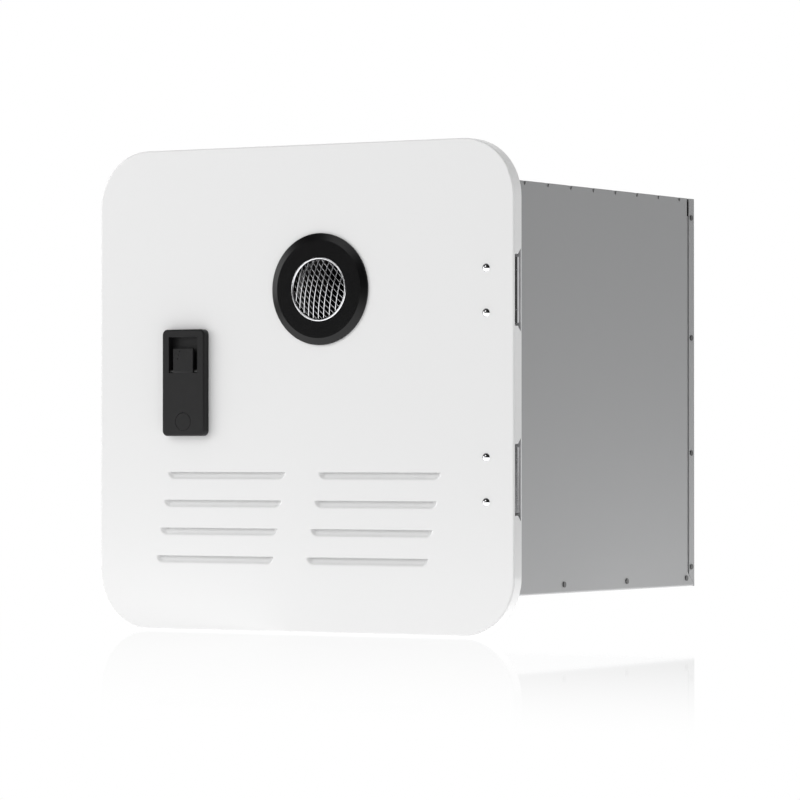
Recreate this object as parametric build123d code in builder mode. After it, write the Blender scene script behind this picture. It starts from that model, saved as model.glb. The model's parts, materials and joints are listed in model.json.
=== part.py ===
from build123d import *
import math
import os

# Recessed instant water heater for the outer wall of a motorhome.
# Millimetres. The origin is the centre of the wall flange's rear face.
# X points right as seen from the front, Y goes into the wall and Z points up.

os.makedirs("parts", exist_ok=True)

# Door
DOOR_SIZE = 381.0
DOOR_CORNER = 45.0
DOOR_DEPTH = 11.5
DOOR_SHEET = 1.2
DOOR_BEND = 1.5
DOOR_GAP = 1.8

# Wall flange and its collar
FLANGE_MARGIN = 1.5
FLANGE_SHEET = 1.2
FLANGE_LEDGE = 15.0
COLLAR_DEPTH = 14.0
COLLAR_SHOULDER = 2.0
SHOULDER_MARGIN = 0.3
COLLAR_SHEET = 1.2
WALL_SCREW_INSET = 15.5
WALL_SCREW_CORNER = 70.5
WALL_SCREW_RADIUS = 2.5
SEAL_WIDTH = 10.0
SEAL_INSET = 2.0
SEAL_RELIEF = 0.3

# Casing
CASE_INSET = 29.5
CASE_DEPTH = 343.6
CASE_SHEET = 0.8
CASE_BEND = 1.5
SEAM_WIDTH = 3.7
STRIP_WIDTH = 9.4
LIP_LENGTH = 23.0
MITRE_HEIGHT = 12.3
MITRE_FOOT = 2.0
MITRE_GAP = 0.3
TOP_FLANGE = 14.0
NOTCH_COUNT = 8
NOTCH_FIRST = 53.2
NOTCH_END = 15.5
NOTCH_WIDTH = 8.0
NOTCH_DEPTH = 3.5
NOTCH_TIP = 0.77
STRIP_SCREW_TOP = 15.9
STRIP_SCREW_FOOT = 16.0
STRIP_SCREW_MIDDLES = (45.2, -50.4)
STRIP_SCREW_INSET = 5.3
SCREW_RADIUS = 1.5
SCREW_HEAD_RADIUS = 2.25
SCREW_HEAD_HEIGHT = 0.7
SCREW_SHANK = 4.0
SCREW_CLEARANCE = 0.1
RIVET_COUNT = 3
RIVET_FIRST = 118.4
RIVET_END = 14.4
RIVET_RISE = 6.9
TRAY_WALL = 14.0
TRAY_CLEARANCE = 1.0

# Service plate behind the door
SERVICE_SETBACK = 24.0
SERVICE_SHEET = 1.0
SERVICE_RIM = 16.0
INTAKE_COUNT = 7
INTAKE_LENGTH = 60.0
INTAKE_WIDTH = 5.0
INTAKE_PITCH = 11.0
INTAKE_X = 75.0
INTAKE_Z = -85.0

# Hinges
HINGE_CENTRES = (73.6, -70.8)
HINGE_INSET = 3.5
HINGE_SETBACK = 7.3
HINGE_LENGTH = 50.0
HINGE_MIDDLE = 30.0
HINGE_NOTCH = 54.6
HINGE_NOTCH_STRAIGHT = 6.2
KNUCKLE_RADIUS = 3.3
KNUCKLE_GAP = 0.3
LEAF_SHEET = 1.2
LEAF_WIDTH = 28.0
HINGE_PIN_RADIUS = 1.6
RUNNING_CLEARANCE = 0.05
FIXED_CLEARANCE = 0.02
HINGE_SCREW_INSET = 24.5
HINGE_SCREW_SPACING = 34.2
HINGE_SCREW_RADIUS = 1.8
HINGE_SCREW_HEAD = 3.3
HINGE_SCREW_DOME = 2.0
HINGE_SCREW_TAIL = 4.0
HINGE_RIVET_RADIUS = 1.6
HINGE_RIVET_HEAD = 3.0
HINGE_RIVET_HEIGHT = 0.9

# Louvres
LOUVRE_ROWS = 4
LOUVRE_FOOT = 58.7
LOUVRE_PITCH = 22.1
LOUVRE_REACH = 5.4
LOUVRE_DEPTH = 3.2
LOUVRE_LIP = 2.0
LOUVRE_LEFT_MARGIN = 65.7
LOUVRE_RIGHT_MARGIN = 64.8
LOUVRE_BETWEEN = 31.5
LOUVRE_SHIFT = -3.66

# Outlet
OUTLET_X = 17.6
OUTLET_Z = 77.2
RING_RADIUS = 43.6
RING_FACE_RADIUS = 38.2
RING_SIDE = 1.5
RING_HEIGHT = 3.0
RING_SPIGOT_RADIUS = 32.8
RING_SPIGOT_DEPTH = 5.0
SCREEN_RADIUS = 25.2
SCREEN_RIM = 2.0
SCREEN_ROUND = 0.9
SCREEN_PROUD = 0.3
SCREEN_DEPTH = 7.0
SCREEN_SEAT = 1.0
SCREEN_DOME = 4.5
FRONT_WIRE_RADIUS = 0.33
FRONT_WIRE_PITCH = 4.6
FRONT_WIRE_ANGLE = 77.3
REAR_WIRE_RADIUS = 0.25
REAR_WIRE_PITCH = 3.5
REAR_WIRE_ANGLE = -46.0
WIRE_CLEARANCE = 0.1

# Latch
LATCH_INSET = 84.1
LATCH_LIFT = 28.5
LATCH_HEIGHT = 84.5
LATCH_WIDTH = 39.6
LATCH_PROUD = 7.0
LATCH_CORNER = 4.3
LATCH_EDGE = 1.2
HUB_WIDTH = 33.0
HUB_HEIGHT = 76.0
HUB_TAIL = 2.0
POCKET_WIDTH = 27.0
POCKET_TOP = 6.0
POCKET_BOTTOM = 34.4
POCKET_DEPTH = 6.0
TAB_WIDTH = 18.5
TAB_TOP = 15.3
TAB_SHEET = 2.5
BARREL_RADIUS = 3.0
BARREL_CLEARANCE = 0.2
LATCH_PIN_RADIUS = 1.5
LATCH_PIN_GRIP = 2.5
ARM_LENGTH = 14.0
ARM_WIDTH = 6.0
ARM_THICKNESS = 3.0
ARM_PLAY = 0.5
ARM_LIFT_GAP = 0.3
WINDOW_DROP = 5.5
BOLT_TRAVEL = 8.0
BOLT_WIDTH = 17.6
BOLT_RISE = 16.0
BOLT_DROP = 46.2
NOSE_LENGTH = 14.0
NOSE_THICKNESS = 5.0
GUIDE_CLEARANCE = 0.2
GUIDE_RAIL = 2.0
GUIDE_PLATE = 1.5
GUIDE_MARGIN = 4.0
GUIDE_COVER = 1.2
GUIDE_BAR = 5.0
SPRING_SHEET = 0.5
KEEPER_WIDTH = 14.0
KEEPER_SHEET = 1.0
KEEPER_OVERLAP = 6.0
KEEPER_DROP = 12.0
KEEPER_FOOT = 16.0
BLANK_RADIUS = 7.0
BLANK_RISE = 11.5
BLANK_GAP = 0.2
BLANK_DEPTH = 3.0
DIMPLE_RADIUS = 0.45
DIMPLES = ((16.5, 17.4), (15.5, 20.5), (14.7, 23.3))

# Heat exchanger, burner and flue
FLUE_RADIUS = 29.0
FLUE_WALL = 1.0
FLUE_SEAL_DEPTH = 6.0
CHAMBER_MARGIN = 86.0
CHAMBER_FRONT = 80.0
REAR_SPACE = 102.8
CHAMBER_BASE = -70.0
CHAMBER_TOP = 36.0
CHAMBER_WALL = 1.0
HOOD_HEADROOM = 6.0
HOOD_BEVEL = 20.0
FIN_COUNT = 18
FIN_SHEET = 0.6
FIN_HEIGHT = 44.0
FIN_INSET = 4.0
TUBE_RADIUS = 7.0
TUBE_WALL = 0.8
TUBE_RUNS = 4
TUBE_INSET = 26.0
TUBE_Z = 12.0
TUBE_TAIL = 10.0
TUBE_CLEARANCE = 0.15
BURNER_COUNT = 6
BURNER_WIDTH = 13.0
BURNER_HEIGHT = 26.0
BURNER_SLOT = 3.0
JET_RADIUS = 3.0
JET_LENGTH = 10.0
MANIFOLD_RADIUS = 6.5
SENSOR_RADIUS = 8.0
SENSOR_HEIGHT = 6.0
ELECTRODE_RADIUS = 4.0
ELECTRODE_SPACING = 40.0

# Fan
FAN_RADIUS = 40.0
FAN_WALL = 1.5
FAN_DEPTH = 42.0
FAN_TIP_GAP = 2.5
FAN_WHEEL_DEPTH = 26.0
FAN_HUB_RADIUS = 14.0
FAN_BLADES = 9
FAN_BLADE_SHEET = 2.0
FAN_BLADE_ANGLE = 35.0
FAN_SHAFT_RADIUS = 3.0
MOTOR_RADIUS = 24.0
MOTOR_DEPTH = 26.0

# Water and gas lines
WATER_INSET = 51.0
COLD_DROP = 22.0
HOT_INSET = 36.0
PIPE_BEND = 16.0
FITTING_RADIUS = 10.5
FITTING_REACH = 22.0
FITTING_FLANGE = 17.0
FITTING_SHOULDER = 5.0
FITTING_NUT = 4.0
FITTING_HOLE_CLEARANCE = 0.5
FLOW_RADIUS = 14.0
FLOW_LENGTH = 50.0
BLOCK_WIDTH = 24.0
BLOCK_DEPTH = 26.0
BLOCK_TOP = -70.0
DRAIN_RADIUS = 9.0
DRAIN_RISE = 23.4
RELIEF_RADIUS = 9.0
RELIEF_DROP = 15.0
LEVER_LENGTH = 17.0
LEVER_WIDTH = 12.0
LEVER_SHEET = 1.5
LEVER_BARREL = 2.4
LEVER_PLAY = 0.3
LEVER_PIN_RADIUS = 1.0
GAS_RISE = 59.4
GAS_RADIUS = 7.9
GAS_PIPE_RADIUS = 6.0
VALVE_GAP = 12.4
VALVE_WIDTH = 40.0
VALVE_DEPTH = 84.0
VALVE_HEIGHT = 50.0
COIL_RADIUS = 12.0
COIL_HEIGHT = 30.0

# Electrical pieces
CONTROL_WIDTH = 75.0
CONTROL_HEIGHT = 130.0
CONTROL_DEPTH = 33.0
CONTROL_INSET = 11.0
CONTROL_BASE = -20.0
CONTROL_WALL = 2.0
BOARD_SHEET = 1.6
BOARD_STANDOFF = 6.0
BOARD_CHIPS = (0.25, 0.5, 0.75)
MODULE_SIZE = (40.0, 36.0, 36.0)
SWITCH_INSET = 41.0
SWITCH_Z = 0.0
SWITCH_WIDTH = 22.0
SWITCH_HEIGHT = 28.0
SWITCH_BEZEL = 2.0
SWITCH_DEPTH = 18.0
SWITCH_WALL = 3.0
ROCKER_GAP = 0.4
ROCKER_TILT = 10.0
ROCKER_CROOK = 2.5
ROCKER_WING = 5.0
ROCKER_PIN_RADIUS = 1.5
GLAND_X = 60.0
GLAND_Z = 90.0
GLAND_RADIUS = 8.0
GLAND_BORE = 4.0
LOOM_RADIUS = 3.5
LOOM_BEND = 30.0

# Places that follow from the sizes above
DOOR_FRONT = -(FLANGE_SHEET + DOOR_GAP + DOOR_DEPTH)
DOOR_BACK = DOOR_FRONT + DOOR_SHEET
DOOR_HALF = DOOR_SIZE / 2
FLANGE_HALF = DOOR_HALF - FLANGE_MARGIN
FLANGE_FRONT = -FLANGE_SHEET
WALL_SCREW_REACH = DOOR_HALF - WALL_SCREW_INSET
WALL_SCREW_SPREAD = DOOR_HALF - WALL_SCREW_CORNER
CASE_SIZE = DOOR_SIZE - 2 * CASE_INSET
CASE_HALF = CASE_SIZE / 2
FLANGE_OPENING = CASE_SIZE - 2 * FLANGE_LEDGE
SHOULDER_SIZE = CASE_SIZE + 2 * SHOULDER_MARGIN
CASE_INNER = CASE_HALF - CASE_SHEET
LIP_INNER = CASE_INNER - CASE_SHEET
REAR_INNER = CASE_DEPTH - CASE_SHEET
STRIP_FRONT = CASE_DEPTH - STRIP_WIDTH
SEAM_FRONT = STRIP_FRONT - SEAM_WIDTH
LIP_FRONT = CASE_DEPTH - LIP_LENGTH
NOTCH_PITCH = (SEAM_FRONT - NOTCH_END - NOTCH_FIRST) / (NOTCH_COUNT - 1)
STRIP_SCREW_HEIGHTS = [CASE_HALF - STRIP_SCREW_TOP, *STRIP_SCREW_MIDDLES, STRIP_SCREW_FOOT - CASE_HALF]
COLLAR_INNER = CASE_INNER - COLLAR_SHEET
SERVICE_BACK = SERVICE_SETBACK + SERVICE_SHEET
TRAY_FLOOR = -CASE_INNER + CASE_SHEET
HINGE_X = DOOR_HALF - HINGE_INSET
HINGE_Y = DOOR_FRONT + HINGE_SETBACK
LATCH_X = LATCH_INSET - DOOR_HALF
LOUVRE_LENGTH = (DOOR_SIZE - LOUVRE_LEFT_MARGIN - LOUVRE_BETWEEN - LOUVRE_RIGHT_MARGIN) / 2
LOUVRE_LEFT = LOUVRE_LEFT_MARGIN - DOOR_HALF
LOUVRE_COLUMNS = LOUVRE_LENGTH + LOUVRE_BETWEEN
LOUVRE_TOP = LOUVRE_FOOT - DOOR_HALF + LOUVRE_PITCH * (LOUVRE_ROWS - 1)
LATCH_BOTTOM = LOUVRE_TOP + LATCH_LIFT
LATCH_TOP = LATCH_BOTTOM + LATCH_HEIGHT
CHAMBER_WIDTH = CASE_SIZE - 2 * CHAMBER_MARGIN
CHAMBER_HALF = CHAMBER_WIDTH / 2
CHAMBER_BACK = REAR_INNER - REAR_SPACE
CHAMBER_DEPTH = CHAMBER_BACK - CHAMBER_FRONT
BURNER_LENGTH = CHAMBER_DEPTH - 2 * JET_LENGTH
FIN_DEPTH = CHAMBER_DEPTH - 2 * FIN_INSET
TUBE_PITCH = (CHAMBER_DEPTH - 2 * TUBE_INSET) / (TUBE_RUNS - 1)
WATER_X = WATER_INSET - CASE_HALF
HOT_X = HOT_INSET - CASE_HALF
COLD_Z = BLOCK_TOP - COLD_DROP
RELIEF_Z = BLOCK_TOP - RELIEF_DROP
DRAIN_Z = TRAY_FLOOR + DRAIN_RISE
GAS_X = OUTLET_X + CHAMBER_HALF + VALVE_GAP + VALVE_WIDTH / 2
GAS_Z = TRAY_FLOOR + GAS_RISE
CONTROL_LEFT = CONTROL_INSET - CASE_HALF
SWITCH_X = CASE_HALF - SWITCH_INSET


def block(low, high, mode=Mode.ADD):
    """Box between two corners."""
    size = [b - a for a, b in zip(low, high)]
    middle = tuple((a + b) / 2 for a, b in zip(low, high))
    with Locations(middle):
        Box(*size, mode=mode)


def rod(radius, start, end, mode=Mode.ADD):
    """Round bar from one point to another."""
    run = Vector(*end) - Vector(*start)
    with Locations(Plane(origin=start, z_dir=run)):
        Cylinder(radius, run.length, align=(Align.CENTER, Align.CENTER, Align.MIN), mode=mode)


def dome(radius, height, base, axis):
    """Shallow round head that stands on a point and bulges along an axis."""
    sphere_radius = (radius**2 + height**2) / (2 * height)
    with BuildPart(mode=Mode.PRIVATE) as cap:
        Sphere(sphere_radius)
        split(bisect_by=Plane.XY.offset(sphere_radius - height), keep=Keep.TOP)
    seat = Plane(origin=base, z_dir=axis)
    add(seat.location * Pos(0, 0, height - sphere_radius) * cap.part)


def front_plane(y):
    """Plane across the heater at a depth, seen from the front: X right and Z up."""
    return Plane.XZ.offset(-y)


def pipe(points, radius, wall, bend):
    """Hollow pipe along straight runs with round bends."""
    with BuildLine(mode=Mode.PRIVATE) as route:
        if len(points) > 2:
            FilletPolyline(*points, radius=bend)
        else:
            Line(*points)
    start = Plane(origin=points[0], z_dir=Vector(*points[1]) - Vector(*points[0]))
    with BuildSketch(start, mode=Mode.PRIVATE) as section:
        Circle(radius)
        Circle(radius - wall, mode=Mode.SUBTRACT)
    sweep(section.sketch, path=route.wire())


def save(piece, name):
    """Label a finished piece and write it."""
    piece.part.label = name
    export_step(piece.part, f"parts/{name}.step")


# Wall flange: plate with a square opening, and a collar that the casing slides over up to a shoulder
def wall_screw_places():
    """Centres of the wall screws, three along each side of the flange."""
    across = [(x, z) for x in (-WALL_SCREW_REACH, WALL_SCREW_REACH)
              for z in (-WALL_SCREW_SPREAD, 0, WALL_SCREW_SPREAD)]
    return across + [(z, x) for x, z in across]


HINGE_RIVET_X = HINGE_X - LEAF_WIDTH / 2
HINGE_FASTENER_HEIGHTS = [centre + side * HINGE_SCREW_SPACING / 2
                          for centre in HINGE_CENTRES for side in (1, -1)]

with BuildPart() as front_frame:
    with BuildSketch(front_plane(0)):
        RectangleRounded(2 * FLANGE_HALF, 2 * FLANGE_HALF, DOOR_CORNER - FLANGE_MARGIN)
        Rectangle(FLANGE_OPENING, FLANGE_OPENING, mode=Mode.SUBTRACT)
        with Locations(*wall_screw_places()):
            Circle(WALL_SCREW_RADIUS, mode=Mode.SUBTRACT)
        with Locations(*[(HINGE_RIVET_X, z) for z in HINGE_FASTENER_HEIGHTS]):
            Circle(HINGE_RIVET_RADIUS + FIXED_CLEARANCE, mode=Mode.SUBTRACT)
    extrude(amount=FLANGE_SHEET)
    with BuildSketch(front_plane(0)):
        RectangleRounded(SHOULDER_SIZE, SHOULDER_SIZE, CASE_BEND + SHOULDER_MARGIN)
        Rectangle(2 * COLLAR_INNER, 2 * COLLAR_INNER, mode=Mode.SUBTRACT)
    extrude(amount=-COLLAR_SHOULDER)
    with BuildSketch(front_plane(0)):
        RectangleRounded(2 * CASE_INNER, 2 * CASE_INNER, CASE_BEND - CASE_SHEET)
        Rectangle(2 * COLLAR_INNER, 2 * COLLAR_INNER, mode=Mode.SUBTRACT)
    extrude(amount=-COLLAR_DEPTH)
save(front_frame, "front_frame")

# Foam ring on the flange that the closed door presses on
SEAL_HALF = FLANGE_OPENING / 2 + SEAL_INSET
with BuildPart() as door_seal:
    with BuildSketch(front_plane(FLANGE_FRONT)):
        Rectangle(2 * (SEAL_HALF + SEAL_WIDTH), 2 * (SEAL_HALF + SEAL_WIDTH))
        Rectangle(2 * SEAL_HALF, 2 * SEAL_HALF, mode=Mode.SUBTRACT)
    extrude(amount=FLANGE_FRONT - DOOR_BACK - SEAL_RELIEF)
save(door_seal, "door_seal")

# Casing: sides and bottom in one bent sheet, open at the top
OPEN_TOP = 4 * CASE_BEND
MITRE_TOP = MITRE_HEIGHT - CASE_HALF
MITRE_BOTTOM = MITRE_FOOT - CASE_HALF
RIVET_Z = RIVET_RISE - CASE_HALF
RIVET_PITCH = (CASE_DEPTH - RIVET_END - RIVET_FIRST) / (RIVET_COUNT - 1)
RIVET_DEPTHS = [RIVET_FIRST + RIVET_PITCH * n for n in range(RIVET_COUNT)]
STRIP_SCREW_Y = CASE_DEPTH - STRIP_SCREW_INSET
TOP_SCREWS = (-WALL_SCREW_SPREAD, 0, WALL_SCREW_SPREAD)
SIDES = (-1, 1)


def side_holes(radius):
    """Round holes through both casing sides for the strip screws and the rivets."""
    places = [(STRIP_SCREW_Y, z) for z in STRIP_SCREW_HEIGHTS]
    places += [(y, RIVET_Z) for y in RIVET_DEPTHS]
    for y, z in places:
        rod(radius, (-CASE_SIZE, y, z), (CASE_SIZE, y, z), mode=Mode.SUBTRACT)


with BuildPart() as casing_wrap:
    with BuildSketch(front_plane(COLLAR_SHOULDER)):
        with Locations((0, OPEN_TOP / 2)):
            RectangleRounded(CASE_SIZE, CASE_SIZE + OPEN_TOP, CASE_BEND)
            RectangleRounded(2 * CASE_INNER, 2 * CASE_INNER + OPEN_TOP, CASE_BEND - CASE_SHEET,
                             mode=Mode.SUBTRACT)
        with Locations((0, CASE_HALF + OPEN_TOP / 2)):
            Rectangle(2 * CASE_SIZE, OPEN_TOP, mode=Mode.SUBTRACT)
    extrude(amount=COLLAR_SHOULDER - REAR_INNER)
    with BuildSketch(Plane.YZ):
        with BuildLine():
            Polyline((SEAM_FRONT, CASE_SIZE), (CASE_SIZE * 2, CASE_SIZE), (CASE_SIZE * 2, MITRE_BOTTOM),
                     (CASE_DEPTH, MITRE_BOTTOM), (SEAM_FRONT, MITRE_TOP), close=True)
        make_face()
    extrude(amount=CASE_SIZE, both=True, mode=Mode.SUBTRACT)
    with BuildSketch(Plane.YZ):
        for n in range(NOTCH_COUNT):
            y = NOTCH_FIRST + NOTCH_PITCH * n
            with BuildLine():
                Polyline((y - NOTCH_WIDTH / 2, CASE_HALF + 1), (y - NOTCH_WIDTH / 2, CASE_HALF),
                         (y + NOTCH_WIDTH * (NOTCH_TIP - 0.5), CASE_HALF - NOTCH_DEPTH),
                         (y + NOTCH_WIDTH / 2, CASE_HALF), (y + NOTCH_WIDTH / 2, CASE_HALF + 1), close=True)
            make_face()
    extrude(amount=CASE_SIZE, both=True, mode=Mode.SUBTRACT)
    for side in SIDES:
        block((min(side * LIP_INNER, side * CASE_INNER), LIP_FRONT, -LIP_INNER),
              (max(side * LIP_INNER, side * CASE_INNER), REAR_INNER, CASE_INNER - TOP_FLANGE))
    side_holes(SCREW_RADIUS + SCREW_CLEARANCE)
save(casing_wrap, "casing_wrap")

# Casing top: a panel between the sides, with edges turned down inside them
with BuildPart() as casing_top:
    block((-CASE_INNER, COLLAR_SHOULDER, CASE_INNER), (CASE_INNER, SEAM_FRONT, CASE_HALF))
    for side in SIDES:
        block((min(side * LIP_INNER, side * CASE_INNER), COLLAR_DEPTH, CASE_INNER - TOP_FLANGE),
              (max(side * LIP_INNER, side * CASE_INNER), SEAM_FRONT, CASE_HALF))
    block((-LIP_INNER, LIP_FRONT, LIP_INNER), (LIP_INNER, REAR_INNER, CASE_INNER))
    for x in TOP_SCREWS:
        rod(SCREW_RADIUS + SCREW_CLEARANCE, (x, STRIP_SCREW_Y, 0), (x, STRIP_SCREW_Y, CASE_SIZE),
            mode=Mode.SUBTRACT)
save(casing_top, "casing_top")

# Rear cover: flat back with strips turned forward along the top and both sides
HOT_Z = TUBE_Z
REAR_HOLES = [(WATER_X, COLD_Z, FITTING_RADIUS), (HOT_X, HOT_Z, FITTING_RADIUS),
              (GAS_X, GAS_Z, GAS_RADIUS), (GLAND_X, GLAND_Z, GLAND_RADIUS)]
MITRE_SLOPE = (MITRE_TOP - MITRE_BOTTOM) / (CASE_DEPTH - SEAM_FRONT)
STRIP_LOW = MITRE_BOTTOM + MITRE_GAP + MITRE_SLOPE * STRIP_WIDTH

with BuildPart() as rear_cover:
    with BuildSketch(front_plane(CASE_DEPTH)):
        Rectangle(CASE_SIZE, CASE_SIZE)
        for x, z, radius in REAR_HOLES:
            with Locations((x, z)):
                Circle(radius + FITTING_HOLE_CLEARANCE, mode=Mode.SUBTRACT)
    extrude(amount=CASE_SHEET)
    block((-CASE_HALF, STRIP_FRONT, CASE_INNER), (CASE_HALF, CASE_DEPTH, CASE_HALF))
    for side in SIDES:
        with BuildSketch(Plane.YZ.offset(side * CASE_HALF)):
            with BuildLine():
                Polyline((STRIP_FRONT, STRIP_LOW), (CASE_DEPTH, MITRE_BOTTOM + MITRE_GAP),
                         (CASE_DEPTH, CASE_HALF), (STRIP_FRONT, CASE_HALF), close=True)
            make_face()
        extrude(amount=-side * CASE_SHEET)
    for z in STRIP_SCREW_HEIGHTS:
        rod(SCREW_RADIUS + SCREW_CLEARANCE, (-CASE_SIZE, STRIP_SCREW_Y, z), (CASE_SIZE, STRIP_SCREW_Y, z),
            mode=Mode.SUBTRACT)
    for x in TOP_SCREWS:
        rod(SCREW_RADIUS + SCREW_CLEARANCE, (x, STRIP_SCREW_Y, 0), (x, STRIP_SCREW_Y, CASE_SIZE),
            mode=Mode.SUBTRACT)
save(rear_cover, "rear_cover")


def fastener(place, inward):
    """Screw or rivet: a low round head on the skin and a shank that goes in."""
    seat = Vector(*place)
    axis = Vector(*inward)
    rod(SCREW_HEAD_RADIUS, seat, seat - axis * SCREW_HEAD_HEIGHT)
    rod(SCREW_RADIUS, seat, seat + axis * SCREW_SHANK)


with BuildPart() as casing_screws:
    for side in SIDES:
        for z in STRIP_SCREW_HEIGHTS:
            fastener((side * CASE_HALF, STRIP_SCREW_Y, z), (-side, 0, 0))
    for x in TOP_SCREWS:
        fastener((x, STRIP_SCREW_Y, CASE_HALF), (0, 0, -1))
save(casing_screws, "casing_screws")

with BuildPart() as casing_rivets:
    for side in SIDES:
        for y in RIVET_DEPTHS:
            fastener((side * CASE_HALF, y, RIVET_Z), (-side, 0, 0))
save(casing_rivets, "casing_rivets")

# Base tray on the casing's bottom, riveted to both sides
with BuildPart() as base_tray:
    block((-CASE_INNER, COLLAR_DEPTH + TRAY_CLEARANCE, -CASE_INNER),
          (CASE_INNER, LIP_FRONT - TRAY_CLEARANCE, TRAY_FLOOR + TRAY_WALL))
    block((-LIP_INNER, 0, TRAY_FLOOR), (LIP_INNER, CASE_DEPTH, 0), mode=Mode.SUBTRACT)
    side_holes(SCREW_RADIUS + SCREW_CLEARANCE)
    chamfer(base_tray.edges().filter_by(Axis.Y).group_by(Axis.Z)[0], CASE_BEND - CASE_SHEET)
save(base_tray, "base_tray")

# Service plate: closes the casing behind the door, with a rim turned forward into the collar
RIM_INNER = COLLAR_INNER - SERVICE_SHEET
SWITCH_HOLE = (SWITCH_WIDTH - SWITCH_WALL, SWITCH_HEIGHT - SWITCH_WALL)
with BuildPart() as service_plate:
    with BuildSketch(front_plane(SERVICE_SETBACK)):
        Rectangle(2 * COLLAR_INNER, 2 * COLLAR_INNER)
        with Locations((OUTLET_X, OUTLET_Z)):
            Circle(FLUE_RADIUS + FITTING_HOLE_CLEARANCE, mode=Mode.SUBTRACT)
        with Locations((SWITCH_X, SWITCH_Z)):
            Rectangle(*SWITCH_HOLE, mode=Mode.SUBTRACT)
        with Locations((WATER_X, DRAIN_Z)):
            Circle(DRAIN_RADIUS + FITTING_HOLE_CLEARANCE, mode=Mode.SUBTRACT)
        with Locations((WATER_X, RELIEF_Z)):
            Circle(RELIEF_RADIUS + FITTING_HOLE_CLEARANCE, mode=Mode.SUBTRACT)
        with Locations((INTAKE_X, INTAKE_Z)):
            with GridLocations(0, INTAKE_PITCH, 1, INTAKE_COUNT):
                SlotOverall(INTAKE_LENGTH, INTAKE_WIDTH, mode=Mode.SUBTRACT)
    extrude(amount=-SERVICE_SHEET)
    with BuildSketch(front_plane(SERVICE_BACK)):
        Rectangle(2 * COLLAR_INNER, 2 * COLLAR_INNER)
        Rectangle(2 * RIM_INNER, 2 * RIM_INNER, mode=Mode.SUBTRACT)
    extrude(amount=SERVICE_RIM)
save(service_plate, "service_plate")


# Hinges: a leaf on the flange, a leaf behind the door and a pin through their knuckles
LEAF_LEFT = HINGE_X - LEAF_WIDTH
WEB_LEFT = HINGE_X - KNUCKLE_RADIUS
WEB_RIGHT = WEB_LEFT + LEAF_SHEET
HINGE_SCREW_X = DOOR_HALF - HINGE_SCREW_INSET


def knuckle(low, high):
    """One knuckle of a hinge between two heights, solid until it is bored."""
    rod(KNUCKLE_RADIUS, (HINGE_X, HINGE_Y, low), (HINGE_X, HINGE_Y, high))


def leaf(centre, spans, near, far, fastener_x, fastener_hole):
    """Flat leaf between two depths, with a web and a knuckle in each span of heights."""
    half = HINGE_LENGTH / 2
    block((LEAF_LEFT, min(near, far), centre - half), (WEB_RIGHT, max(near, far), centre + half))
    for low, high in spans:
        block((WEB_LEFT, min(near, HINGE_Y), low), (WEB_RIGHT, max(near, HINGE_Y), high))
        knuckle(low, high)
        rod(HINGE_PIN_RADIUS + RUNNING_CLEARANCE, (HINGE_X, HINGE_Y, low - 1), (HINGE_X, HINGE_Y, high + 1),
            mode=Mode.SUBTRACT)
    for side in SIDES:
        z = centre + side * HINGE_SCREW_SPACING / 2
        rod(fastener_hole, (fastener_x, near, z), (fastener_x, far, z), mode=Mode.SUBTRACT)


def outer_spans(centre):
    """Heights of the two end knuckles."""
    inner = HINGE_MIDDLE / 2 + KNUCKLE_GAP
    return [(centre - HINGE_LENGTH / 2, centre - inner), (centre + inner, centre + HINGE_LENGTH / 2)]


with BuildPart() as frame_hinge_leaves:
    for centre in HINGE_CENTRES:
        leaf(centre, outer_spans(centre), FLANGE_FRONT, FLANGE_FRONT - LEAF_SHEET, HINGE_RIVET_X,
             HINGE_RIVET_RADIUS + FIXED_CLEARANCE)
save(frame_hinge_leaves, "frame_hinge_leaves")

with BuildPart() as door_hinge_leaves:
    for centre in HINGE_CENTRES:
        leaf(centre, [(centre - HINGE_MIDDLE / 2, centre + HINGE_MIDDLE / 2)], DOOR_BACK,
             DOOR_BACK + LEAF_SHEET, HINGE_SCREW_X, HINGE_SCREW_RADIUS + SCREW_CLEARANCE)
save(door_hinge_leaves, "door_hinge_leaves")

with BuildPart() as hinge_pins:
    for centre in HINGE_CENTRES:
        rod(HINGE_PIN_RADIUS, (HINGE_X, HINGE_Y, centre - HINGE_LENGTH / 2),
            (HINGE_X, HINGE_Y, centre + HINGE_LENGTH / 2))
save(hinge_pins, "hinge_pins")

with BuildPart() as hinge_rivets:
    for z in HINGE_FASTENER_HEIGHTS:
        seat = FLANGE_FRONT - LEAF_SHEET
        rod(HINGE_RIVET_RADIUS, (HINGE_RIVET_X, seat, z), (HINGE_RIVET_X, 0, z))
        dome(HINGE_RIVET_HEAD, HINGE_RIVET_HEIGHT, (HINGE_RIVET_X, seat, z), (0, -1, 0))
save(hinge_rivets, "hinge_rivets")

with BuildPart() as hinge_screws:
    for z in HINGE_FASTENER_HEIGHTS:
        rod(HINGE_SCREW_RADIUS, (HINGE_SCREW_X, DOOR_FRONT, z),
            (HINGE_SCREW_X, DOOR_BACK + HINGE_SCREW_TAIL, z))
        dome(HINGE_SCREW_HEAD, HINGE_SCREW_DOME, (HINGE_SCREW_X, DOOR_FRONT, z), (0, -1, 0))
save(hinge_screws, "hinge_screws")

# Latch places
LATCH_FACE = DOOR_FRONT - LATCH_PROUD
LATCH_MIDDLE = LATCH_TOP - LATCH_HEIGHT / 2
HUB_BACK = DOOR_BACK + HUB_TAIL
PIVOT_Y = LATCH_FACE + BARREL_RADIUS
GROOVE = math.sqrt((BARREL_RADIUS + BARREL_CLEARANCE)**2 - BARREL_RADIUS**2)
PIVOT_Z = LATCH_TOP - POCKET_BOTTOM + GROOVE

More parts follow.
